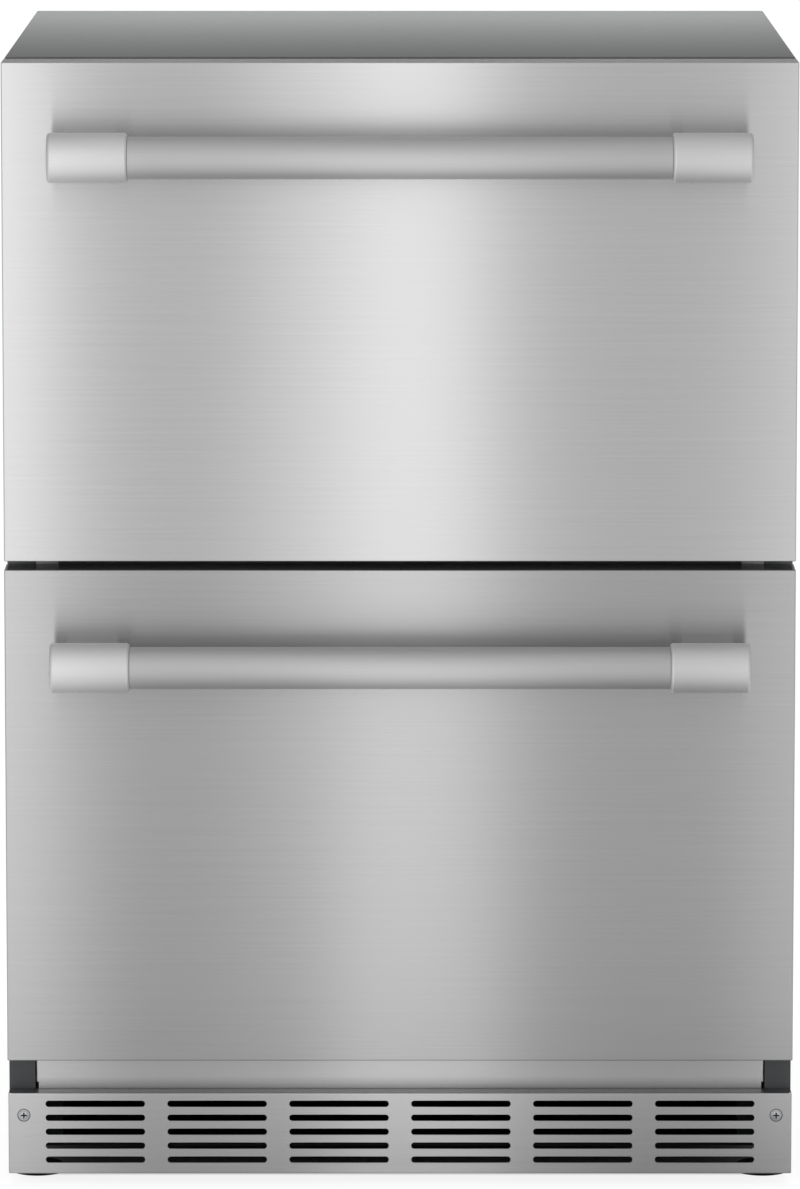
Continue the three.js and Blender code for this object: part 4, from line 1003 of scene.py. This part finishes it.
for x in (SUCTION_X, LIQUID_X):
    cut(cavity, round_bar("hole", LINE_HOLE / 2, (x, lines_y, step_z - 5 * MM),
                          (x, lines_y, step_z + 5 * MM), 32))
finish(cavity, "cabinet", "white_liner", liner_white, "cabinet_liner")


# ---- Inner panels of the drawer fronts ----
# The same white sheet, formed with a raised field that fits inside the gasket.
PANEL_CORNER = 4 * MM
FIELD_EDGE = 17 * MM
for drawer in ("upper", "lower"):
    low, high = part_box(f"{drawer}_front_liner")
    seal_low, seal_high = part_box(f"{drawer}_gasket")
    back_y = low.y + LINER_SHEET
    field = (FIELD_EDGE - seal_high.x, seal_low.z + FIELD_EDGE,
             seal_high.x - FIELD_EDGE, seal_high.z - FIELD_EDGE)
    panel = block(
        f"{drawer}_inner_panel", (field[0], back_y, field[1]), (field[2], high.y, field[3]))
    open_up(panel, lambda at, normal: normal.y < -0.5)
    ease(panel, PANEL_CORNER, 4, lambda a, b: max(a.y, b.y) > back_y + MM)
    flange_out(panel, back_y, field, (low.x, low.z, high.x, high.z))
    thicken(panel, LINER_SHEET)
    finish(panel, f"{drawer}_drawer", "white_liner", liner_white, f"{drawer}_front_liner")


# ---- Gaskets ----
# Extruded soft PVC, mitred and welded at the corners: a bellows pleat on each side and a flat face
# over the magnet strip, which pulls it against the cabinet.
PLEAT_INSET = 3.2 * MM
PLEAT_DEEP = 2.6 * MM
PLEAT_ROUND = 0.9 * MM
rubber = mottled(
    "soft_pvc_gasket", "343638", "424446", 0.0, (0.55, 0.7), (6, 6, 6), 3.0)[0]
for drawer in ("upper", "lower"):
    seal = dress(f"{drawer}_gasket", f"{drawer}_gasket_bellows")
    low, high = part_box(f"{drawer}_gasket")
    for outer in (True, False):
        choose(seal, "FACE", lambda at, normal: abs(normal.y) < 0.1 and outer == (
            (abs(at.x) > high.x - MM) or (at.z < low.z + MM) or (at.z > high.z - MM)))
        bpy.ops.mesh.inset(thickness=PLEAT_INSET, depth=-PLEAT_DEEP, use_boundary=True)
        bpy.ops.object.mode_set(mode="OBJECT")
    soften(seal, PLEAT_ROUND, 3, 30)
    finish(seal, f"{drawer}_drawer", "gasket_rubber", rubber, f"{drawer}_gasket")


# ---- Bins ----
# Clear polystyrene, injection-moulded with wide corner radii and a stiff lip turned in round the
# top. The lower bin steps up over the machine space.
BIN_SHEET = 2 * MM
BIN_CORNER = 9 * MM
BIN_LIP = 7 * MM
LIP_EDGE = 1.5 * MM
clear = mottled(
    "clear_polystyrene_bin", "F6F9FA", "FCFDFD", 0.0, (0.03, 0.09), (30, 30, 30), 2.0,
    Transmission_Weight=0.95)[0]
for drawer in ("upper", "lower"):
    low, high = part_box(f"{drawer}_bin")
    tub = block(f"{drawer}_clear_bin", low, high)
    if drawer == "lower":
        cut(tub, block("under", (low.x - MM, step_y - BIN_GAP, low.z - MM),
                       (high.x + MM, high.y + MM, step_z + BIN_GAP)))
    choose(tub, "FACE", lambda at, normal: normal.z > 0.5)
    bpy.ops.mesh.inset(thickness=BIN_LIP)
    open_up(tub, lambda at, normal: normal.z > 0.5 and abs(at.x) < 0.1
            and low.y + BIN_LIP * 2 < at.y < high.y - BIN_LIP * 2)
    ease(tub, BIN_CORNER, 5, lambda a, b: min(a.z, b.z) < high.z - MM)
    lip = BIN_LIP - MM
    ease(tub, LIP_EDGE, 3, lambda a, b: min(a.z, b.z) > high.z - MM / 10
         and not (abs(a.x) < high.x - lip and low.y + lip < a.y < high.y - lip))
    thicken(tub, BIN_SHEET)
    finish(tub, f"{drawer}_drawer", "clear_bin", clear, f"{drawer}_bin")


# ---- Evaporator cover ----
# A white moulded panel in front of the evaporator, with return slots low down and a ring guard over
# the fan's outlet.
COVER_CORNER = 7 * MM
COVER_EDGE = 0.5 * MM
RETURN_LONG = 60 * MM
RETURN_HIGH = 8 * MM
RETURN_LEVEL = 23.7 * MM
RETURN_COUNT = 5
RETURN_PITCH = 90 * MM
OUTLET = 84 * MM
GUARD_WIRE = 0.9 * MM
GUARD_RINGS = 4
FAN_CAN = 25 * MM

low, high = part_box("evaporator_cover")
cover = block("evaporator_cover_moulding", low, high)
ease(cover, COVER_CORNER, 5, along(Y))
cut(cover, slot_row(RETURN_LONG, RETURN_HIGH, -2 * RETURN_PITCH, low.z + RETURN_LEVEL,
                    low.y - MM, high.y + MM, RETURN_COUNT, RETURN_PITCH))
fan_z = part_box("evaporator_fan_motor")[0].z + FAN_CAN
cut(cover, round_bar("outlet", OUTLET / 2, (0, low.y - MM, fan_z), (0, high.y + MM, fan_z), 64))
soften(cover, COVER_EDGE, 2, 50)
middle = Vector((0, (low.y + high.y) / 2, fan_z))
bars = []
for i in range(GUARD_RINGS):
    bpy.ops.mesh.primitive_torus_add(
        location=middle, rotation=(math.pi / 2, 0, 0), major_segments=64, minor_segments=8,
        major_radius=OUTLET / 2 * (i + 1) / (GUARD_RINGS + 0.5), minor_radius=GUARD_WIRE)
    bars.append(placed("ring"))
for i in range(3):
    way = Vector((math.cos(math.pi * i / 3), 0, math.sin(math.pi * i / 3))) * (OUTLET / 2 + MM / 2)
    bars.append(round_bar("spoke", GUARD_WIRE, middle - way, middle + way, 10))
fused(cover, *bars)
finish(cover, "cabinet", "white_liner", liner_white, "evaporator_cover")


# ---- Fans ----
# Injection-moulded axial wheels: a domed hub with five twisted blades. Each motor is a pressed can
# on a strap, and the condenser's wheel turns in a pressed shroud.
BLADE_SHEET = 1.6 * MM
BLADES = 5
BLADE_PITCH = math.radians(24)
BLADE_TWIST = math.radians(14)
BLADE_CURL = math.radians(22)
TIP_CUT = 4 * MM
# Shares of the wheel's radius that a blade reaches and that its chord may have, of the wheel's depth
# that it fills, and of the hub's radius at its root.
BLADE_TIP, CHORD_MOST, BLADE_DEEP, BLADE_ROOT = 0.985, 0.62, 0.52, 0.9
CAN_DEEP = 30 * MM
CAN_EDGE = 3 * MM
STRAP_HALF = 7 * MM
STRAP_SHEET = 2 * MM
SHAFT = 3 * MM
SHAFT_LONG = 16 * MM
SHROUD_SHEET = 2 * MM
SHROUD_CORNER = 10 * MM
SHROUD_EDGE = 0.8 * MM
MOUTH = 72 * MM


def fan_wheel(fan, hub_radius):
    """A fan's wheel, which turns about Y, with its hub and blades in the node's own box."""
    low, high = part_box(f"{fan}_wheel")
    motor_low, motor_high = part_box(f"{fan}_motor")
    centre = (motor_low + motor_high) / 2
    centre.y = (low.y + high.y) / 2
    radius = min(high.x - centre.x, high.z - centre.z)
    hub = round_bar(f"{fan}_blades", hub_radius, (centre.x, low.y, centre.z),
                    (centre.x, high.y, centre.z), 48)
    ease(hub, hub_radius * 0.25, 5, below(Y, low.y))
    root = hub_radius * BLADE_ROOT
    span = radius * BLADE_TIP - root
    chord = min((high.y - low.y) * BLADE_DEEP / math.sin(BLADE_PITCH), radius * CHORD_MOST)
    bpy.ops.mesh.primitive_grid_add(x_subdivisions=8, y_subdivisions=10, size=1)
    bpy.context.object.scale = (chord, span, 1)
    blade = placed("blade")
    choose(blade, "VERT", lambda at:
           abs(at.x) > chord / 2 - MM / 10 and at.y > (radius - root) / 2 - TIP_CUT)
    bpy.ops.mesh.dissolve_verts()
    bpy.ops.object.mode_set(mode="OBJECT")
    modify(blade, "SIMPLE_DEFORM", deform_method="TWIST", deform_axis="Y", angle=-BLADE_TWIST)
    modify(blade, "SIMPLE_DEFORM", deform_method="BEND", deform_axis="Y", angle=BLADE_CURL)
    modify(blade, "SOLIDIFY", thickness=BLADE_SHEET, offset=0)
    blades = []
    for i in range(BLADES):
        copy = bpy.data.objects.new("blade", blade.data.copy())
        bpy.context.scene.collection.objects.link(copy)
        copy.data.transform(
            Matrix.Translation(centre) @ Matrix.Rotation(2 * math.pi * i / BLADES, 4, "Y")
            @ Matrix.Translation((0, 0, root + span / 2))
            @ Matrix.Rotation(math.pi / 2, 4, "X") @ Matrix.Rotation(BLADE_PITCH, 4, "Y"))
        blades.append(copy)
    bpy.data.objects.remove(blade)
    fused(hub, *blades)
    return hub


def fan_motor(fan):
    """A fan's motor can with its shaft on a strap, whose two bent ends come forward."""
    low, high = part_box(f"{fan}_motor")
    x, z = (low.x + high.x) / 2, (low.z + high.z) / 2
    strap_y = high.y - CAN_DEEP
    can = round_bar(f"{fan}_motor_can", FAN_CAN, (x, strap_y + MM, z), (x, high.y, z), 48)
    ease(can, CAN_EDGE, 4, above(Y, high.y))
    strap = block("strap", (low.x, low.y, z - STRAP_HALF),
                  (high.x, strap_y + STRAP_SHEET, z + STRAP_HALF))
    cut(strap, block("inner", (low.x + STRAP_SHEET, low.y - MM, z - STRAP_HALF - MM),
                     (high.x - STRAP_SHEET, strap_y, z + STRAP_HALF + MM)))
    ease(strap, CAN_EDGE, 4, lambda a, b: abs(a.z - b.z) > MM and min(a.y, b.y) > strap_y + MM)
    shaft = round_bar("shaft", SHAFT, (x, strap_y - SHAFT_LONG, z), (x, strap_y + MM, z), 24)
    fused(can, strap, shaft)
    return can


for fan, hub_radius, wheel_look, motor_look in (
    ("evaporator_fan", 15 * MM, ("white_liner", liner_white), ("white_liner", liner_white)),
    ("condenser_fan", 20 * MM, ("black_plastic", black_plastic), ("dark_coated_metal", painted)),
):
    finish(fan_wheel(fan, hub_radius), fan, *wheel_look, f"{fan}_wheel")
    finish(fan_motor(fan), "cabinet", *motor_look, f"{fan}_motor")

shroud_low, shroud_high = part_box("condenser_fan_shroud")
low, high = shroud_low, shroud_high
x, z = (low.x + high.x) / 2, (low.z + high.z) / 2
shroud = block("condenser_fan_shroud_pressing", low, (high.x, low.y + SHROUD_SHEET, high.z))
ease(shroud, SHROUD_CORNER, 5, along(Y))
cut(shroud, round_bar("collar", MOUTH + SHROUD_SHEET, (x, low.y + SHROUD_SHEET / 2, z),
                      (x, high.y, z), 72), "UNION")
cut(shroud, round_bar("mouth", MOUTH, (x, low.y - MM, z), (x, high.y + MM, z), 72))
soften(shroud, SHROUD_EDGE, 3, 50)
finish(shroud, "cabinet", "dark_coated_metal", painted, "condenser_fan_shroud")


# ---- Coils and lines ----
# Drawn tube bent to and fro through rows of thin aluminium fins: a copper condenser on the pan, an
# aluminium evaporator behind its cover, and the thin liquid line with its filter drier.
TUBE = 4 * MM
LINE = 3 * MM
TUBE_BEND = 9 * MM
PASSES = 5
FIN_SHEET = 0.5 * MM
FIN_DEEP = 32 * MM
FIN_CORNER = 2 * MM
CONDENSER_FINS = 31
EVAPORATOR_FINS = 60
STUB_REACH = 34 * MM
COIL_REACH = 12 * MM
CONDENSER_BACK = 195 * MM
CONDENSER_WIDE = 210 * MM
CONDENSER_HIGH = 165 * MM
EVAPORATOR_WIDE = 380 * MM
EVAPORATOR_BASE = 400 * MM
EVAPORATOR_TALL = 180 * MM
TAB_HIGH = 30 * MM
LOW_LEVEL = 252 * MM
DRIER = 10 * MM
DRIER_BACK = 10 * MM
DRIER_TOP = 40 * MM
DRIER_FOOT = 130 * MM

copper = mottled(
    "drawn_copper_tube", "9C5C2C", "C47D42", 1.0, (0.24, 0.42), (14, 14, 14), 4.0)[0]
aluminium = mottled(
    "rolled_fin_aluminium", "BCC0C3", "D0D4D7", 1.0, (0.3, 0.46), (1, 1, 40), 3.0)[0]


def bent_tube(name, corners, radius, bend):
    """A round tube through corner points, each corner rounded with the given reach."""
    bpy.ops.mesh.primitive_plane_add(size=1)
    route = placed(name)
    choose(route, "VERT", lambda at: True)
    bpy.ops.mesh.merge(type="CENTER")
    bpy.ops.transform.translate(value=corners[0])
    for last, corner in zip(corners, corners[1:]):
        bpy.ops.mesh.extrude_region_move(
            TRANSFORM_OT_translate={"value": Vector(corner) - Vector(last)})
    bpy.ops.object.mode_set(mode="OBJECT")
    for way in range(1, len(corners) - 1):
        place = Vector(corners[way])
        reach = min(bend, *((Vector(corners[way + step]) - place).length * 0.49 for step in (-1, 1)))
        choose(route, "VERT", lambda at: (at - place).length < MM / 100)
        bpy.ops.mesh.bevel(offset=reach, segments=6, affect="VERTICES")
        bpy.ops.object.mode_set(mode="OBJECT")
    pick(route)
    bpy.ops.object.convert(target="CURVE")
    route = bpy.context.object
    route.data.bevel_depth = radius
    route.data.bevel_resolution = 3
    route.data.use_fill_caps = True
    bpy.ops.object.convert(target="MESH")
    return bpy.context.object


def finned(name, count, middle_x, wide, y, base, top):
    """A row of thin upright fins across a coil, short of its bends."""
    reach = wide / 2 - COIL_REACH
    fin = block(name, (middle_x - reach - FIN_SHEET / 2, y - FIN_DEEP / 2, base),
                (middle_x - reach + FIN_SHEET / 2, y + FIN_DEEP / 2, top))
    ease(fin, FIN_CORNER, 2, lambda a, b: abs(a.x - b.x) > FIN_SHEET / 2)
    repeat(fin, count, (2 * reach / (count - 1), 0, 0))
    return fin


def to_and_fro(middle_x, wide, base, tall, y):
    """The corners of a tube that crosses a coil five times, from its base up."""
    corners = []
    for i in range(PASSES):
        z = base + tall * i / (PASSES - 1)
        side = -1 if i % 2 else 1
        corners += [(middle_x - side * wide / 2, y, z), (middle_x + side * wide / 2, y, z)]
    return corners


can_low, can_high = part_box("compressor")
can_x, can_y, can_top = (can_low.x + can_high.x) / 2, (can_low.y + can_high.y) / 2, can_high.z
hot_y, suction_x = can_y - STUB_REACH, can_x - STUB_REACH

middle_x = (shroud_low.x + shroud_high.x) / 2
coil_y = cabinet_back - CONDENSER_BACK
coil_foot = can_low.z + COIL_REACH + 2 * TUBE
rows = to_and_fro(middle_x, CONDENSER_WIDE, coil_foot,
                  CONDENSER_HIGH - 2 * (COIL_REACH + 2 * TUBE), coil_y)
over = can_top + 2 * COIL_REACH
out_x = rows[-1][0] + COIL_REACH
condenser = bent_tube("condenser_coil_tube", [
    *rows, (out_x, coil_y, rows[-1][2]), (out_x, coil_y, over), (can_x, coil_y, over),
    (can_x, hot_y, over), (can_x, hot_y, can_top),
], TUBE, TUBE_BEND)
finish(condenser, "cabinet", "copper_tube", copper, "condenser_coil")
fins = finned("condenser_fins", CONDENSER_FINS, middle_x, CONDENSER_WIDE, coil_y,
              can_low.z, can_low.z + CONDENSER_HIGH)
mount(fins, "cabinet", "coil_aluminium", aluminium)

evaporator_top = EVAPORATOR_BASE + EVAPORATOR_TALL
line_level = EVAPORATOR_BASE - 3 * COIL_REACH
riser = EVAPORATOR_WIDE / 2 + COIL_REACH
evaporator = bent_tube("evaporator_coil_tube", [
    (suction_x, can_y, can_top), (suction_x, can_y, LOW_LEVEL), (SUCTION_X, can_y, LOW_LEVEL),
    (SUCTION_X, lines_y, LOW_LEVEL), (SUCTION_X, lines_y, line_level), (riser, lines_y, line_level),
    (riser, lines_y, evaporator_top),
    *to_and_fro(0, -EVAPORATOR_WIDE, evaporator_top, -EVAPORATOR_TALL, lines_y),
], TUBE, TUBE_BEND)
fins = finned("evaporator_fins", EVAPORATOR_FINS, 0, EVAPORATOR_WIDE, lines_y,
              EVAPORATOR_BASE - COIL_REACH, evaporator_top + COIL_REACH)
tabs = []
for x in (COIL_REACH - EVAPORATOR_WIDE / 2, EVAPORATOR_WIDE / 2 - COIL_REACH):
    tabs.append(block("tab", (x - MM, lines_y, evaporator_top - TAB_HIGH),
                      (x + MM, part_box("evaporator_coil")[1].y, evaporator_top)))
fused(evaporator, fins, *tabs)
finish(evaporator, "cabinet", "coil_aluminium", aluminium, "evaporator_coil")

coil_end = middle_x - CONDENSER_WIDE / 2 - FIT
side_x = coil_end - COIL_REACH
side_y = shroud_low.y + DRIER_BACK
meet_x = -EVAPORATOR_WIDE / 2 - 2 * TUBE - FIT
liquid = bent_tube("liquid_line_tube", [
    (coil_end, coil_y, coil_foot), (side_x, coil_y, coil_foot), (side_x, side_y, coil_foot),
    (side_x, side_y, LOW_LEVEL), (LIQUID_X, side_y, LOW_LEVEL), (LIQUID_X, lines_y, LOW_LEVEL),
    (LIQUID_X, lines_y, line_level), (meet_x, lines_y, line_level),
    (meet_x, lines_y, EVAPORATOR_BASE), (-EVAPORATOR_WIDE / 2 - FIT, lines_y, EVAPORATOR_BASE),
], LINE, TUBE_BEND)
drier = round_bar("drier", DRIER, (side_x, side_y, LOW_LEVEL - DRIER_FOOT),
                  (side_x, side_y, LOW_LEVEL - DRIER_TOP), 32)
ease(drier, DRIER / 2, 5, across(Z))
fused(liquid, drier)
finish(liquid, "cabinet", "copper_tube", copper, "liquid_line")


# ---- Compressor ----
# A hermetic can of two drawn steel shells, welded round the middle and enamelled black, on a plate
# with four rubber feet.
CAN_INSET = 2 * MM
CAN_DOME = 30 * MM
CAN_FOOT = 22 * MM
STUB_PROUD = 8 * MM
STUB_WALL = 1.5 * MM
WELD_HIGH = 5 * MM
WELD_EDGE = 1.5 * MM
PLATE_LEVEL = 16 * MM
PLATE_CORNER = 12 * MM
PLATE_UNDER = 3 * MM
PLATE_OVER = 2 * MM
PLATE_SHARE = 0.75
RUBBER = 9 * MM
RUBBER_INSET = 12 * MM

enamel = mottled(
    "black_enamelled_steel", "191A1B", "2A2B2C", 0.0, (0.22, 0.42), (12, 12, 12), 4.0)[0]
radius = (can_high.x - can_low.x) / 2
plate_z = can_low.z + PLATE_LEVEL
dome_z = can_top - STUB_PROUD
can = round_bar("compressor_can", radius - CAN_INSET, (can_x, can_y, plate_z),
                (can_x, can_y, dome_z), 64)
ease(can, CAN_DOME, 8, above(Z, dome_z))
ease(can, CAN_FOOT, 6, below(Z, plate_z))
weld_z = (plate_z + dome_z) / 2
weld = round_bar("weld", radius, (can_x, can_y, weld_z - WELD_HIGH / 2),
                 (can_x, can_y, weld_z + WELD_HIGH / 2), 64)
ease(weld, WELD_EDGE, 3, across(Z))
plate_half = radius * PLATE_SHARE
plate = block("plate", (can_low.x, can_y - plate_half, plate_z - PLATE_UNDER),
              (can_high.x, can_y + plate_half, plate_z + PLATE_OVER))
ease(plate, PLATE_CORNER, 5, along(Z))
stubs = [round_bar("stub", TUBE + STUB_WALL, (*place, dome_z - CAN_DOME), (*place, can_top), 24)
         for place in ((can_x, hot_y), (suction_x, can_y))]
fused(can, weld, plate, *stubs)
finish(can, "cabinet", "black_steel", enamel, "compressor")
feet = []
for dx in (RUBBER_INSET - radius, radius - RUBBER_INSET):
    for dy in (RUBBER_INSET - plate_half, plate_half - RUBBER_INSET):
        at = (can_x + dx, can_y + dy)
        foot = round_bar(
            "compressor_feet", RUBBER, (*at, can_low.z), (*at, plate_z - PLATE_UNDER), 32)
        ease(foot, WELD_EDGE, 3, across(Z))
        feet.append(foot)
fused(*feet)
finish(feet[0], "cabinet", "gasket_rubber", rubber)


# ---- Drain tray ----
# A black moulded tray under the drain, warmed by the machine space so that the defrost water dries.
TRAY_CORNER = 5 * MM
TRAY_SHEET = 2 * MM
low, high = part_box("drain_tray")
tray = block("drain_tray_moulding", low, high)
open_up(tray, lambda at, normal: normal.z > 0.5)
ease(tray, TRAY_CORNER, 4, lambda a, b: min(a.z, b.z) < high.z - MM)
thicken(tray, TRAY_SHEET)
finish(tray, "cabinet", "black_plastic", black_plastic, "drain_tray")


# ---- Control panel ----
# A black housing under the ceiling of the cavity. Its sloping face is a glossy touch strip with lit
# digits for the temperature, a minus and a plus key and a light key.
GLASS_THICK = 0.4 * MM
GLASS_HALF = 100 * MM
GLASS_HIGH = 14 * MM
GLASS_CORNER = 2 * MM
FACE_DEEP = 16 * MM
GLYPH = 11 * MM
GLYPHS = (("-", -34 * MM), ("37", -8 * MM), ("+", 22 * MM))
LIGHT_KEY_X = 55 * MM
LIGHT_KEY = 3 * MM
STROKE = 0.35 * MM
PRINT = 0.05 * MM

housing = dress("control_panel", "control_panel_housing", 0.8 * MM, 3)
mount(housing, "cabinet", "black_plastic", black_plastic, "control_panel")

glass = mottled(
    "smoked_touch_acrylic", "08090A", "101213", 0.0, (0.05, 0.16), (25, 25, 25), 4.0,
    Coat_Weight=0.5)[0]
glowing, tree, shader, mm = surface("lit_white_symbols", "E8F2FF", 0.0, 0.5)
shader.inputs["Emission Color"].default_value = linear("DCEBFF")
shader.inputs["Emission Strength"].default_value = 1.2
dots = add(tree, "ShaderNodeTexNoise", {"Vector": stretched(tree, mm, (1, 1, 1)), "Scale": 1.0})
tint(tree, shader, dots, "E0ECFA", "F0F7FF")

low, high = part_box("control_panel")
slope_from = Vector((0, low.y, low.z + (high.z - low.z) * 2 / 3))
slope_to = Vector((0, low.y + FACE_DEEP, low.z))
slope = (slope_to - slope_from).normalized()
tilt = Matrix(((1, 0, 0), (0, -slope.y, slope.z), (0, -slope.z, -slope.y))).to_4x4()
face = Matrix.Translation((slope_from + slope_to) / 2) @ tilt


def on_face(piece, x, up, proud):
    """Lays a flat piece, drawn about the origin in X and Y, on the housing's sloping face."""
    piece.data.transform(face @ Matrix.Translation((x, up, proud)))
    piece.matrix_world = Matrix.Identity(4)


strip = block("control_panel_touch_strip", (-GLASS_HALF, -GLASS_HIGH / 2, 0),
              (GLASS_HALF, GLASS_HIGH / 2, GLASS_THICK))
ease(strip, GLASS_CORNER, 4, lambda a, b: abs(a.z - b.z) > GLASS_THICK / 2)
on_face(strip, 0, 0, -GLASS_THICK * 0.9)
finish(strip, "cabinet", "black_plastic", glass)
marks = []
for text, x in GLYPHS:
    bpy.ops.object.text_add()
    word = bpy.context.object.data
    word.body = text
    word.align_x = "CENTER"
    word.align_y = "CENTER"
    word.size = GLYPH
    word.extrude = PRINT
    bpy.ops.object.convert(target="MESH")
    marks.append(placed("control_panel_symbols"))
    on_face(marks[-1], x, 0, 0.06 * MM)
bpy.ops.mesh.primitive_torus_add(
    major_radius=LIGHT_KEY, minor_radius=STROKE, major_segments=48, minor_segments=6)
ring = placed("light_key")
ring.data.transform(Matrix.Diagonal((1, 1, 0.2, 1)))
on_face(ring, LIGHT_KEY_X, 0, 0.08 * MM)
fused(*marks, ring)
finish(marks[0], "cabinet", "lamp_lens", glowing)


# ---- Light ----
# An opal lens over a strip of lamps, ribbed to spread the light.
LENS_RIBS = 3 * MM
lens, tree, shader, mm = surface("opal_lamp_lens", "F6F7F2", 0.0, 0.35, Transmission_Weight=0.3)
ribs = add(tree, "ShaderNodeTexWave", {
    "Vector": stretched(tree, mm, (LENS_RIBS / MM, 1e3, 1e3)), "Scale": 1.0}, bands_direction="X")
tint(tree, shader, ribs.outputs["Color"], "EEEFEA", "F8F9F4")
emboss(tree, shader, ribs.outputs["Color"], 0.0004, 0.5)
lamp = dress("lamp_strip", "lamp_strip_lens", 2 * MM, 4)
mount(lamp, "cabinet", "lamp_lens", lens, "lamp_strip")


# ---- Insulation ----
# Rigid polyurethane foam poured between shell and liner and into each front, all closed in.
FOAM_BACK = 1.2 * MM
FIELD_INSET = 20 * MM
FOAM_EDGE = 1.5 * MM
yellow_foam, tree, shader, mm = surface("rigid_polyurethane_foam", "E6D7A4", 0.0, 0.95)
cells = add(tree, "ShaderNodeTexVoronoi", {
    "Vector": stretched(tree, mm, (1.5, 1.5, 1.5)), "Scale": 1.0})
tint(tree, shader, cells, "D8C68C", "EBDDB0")
emboss(tree, shader, cells, 0.0005, 0.5)
for drawer in ("upper", "lower"):
    low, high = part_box(f"{drawer}_front_core")
    hem_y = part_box(f"{drawer}_front_skin")[1].y - FOAM_BACK
    field_low, field_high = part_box(f"{drawer}_gasket")
    core = block(f"{drawer}_front_foam", low, (high.x, hem_y, high.z))
    cut(core, block("raised", (field_low.x + FIELD_INSET, hem_y - MM, field_low.z + FIELD_INSET),
                    (field_high.x - FIELD_INSET, high.y - FOAM_BACK, field_high.z - FIELD_INSET)),
        "UNION")
    soften(core, FOAM_EDGE, 3, 50)
    finish(core, f"{drawer}_drawer", "foam", yellow_foam, f"{drawer}_front_core")
cabinet_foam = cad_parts["cabinet_foam"].data
cabinet_foam.materials.clear()
cabinet_foam.materials.append(yellow_foam)
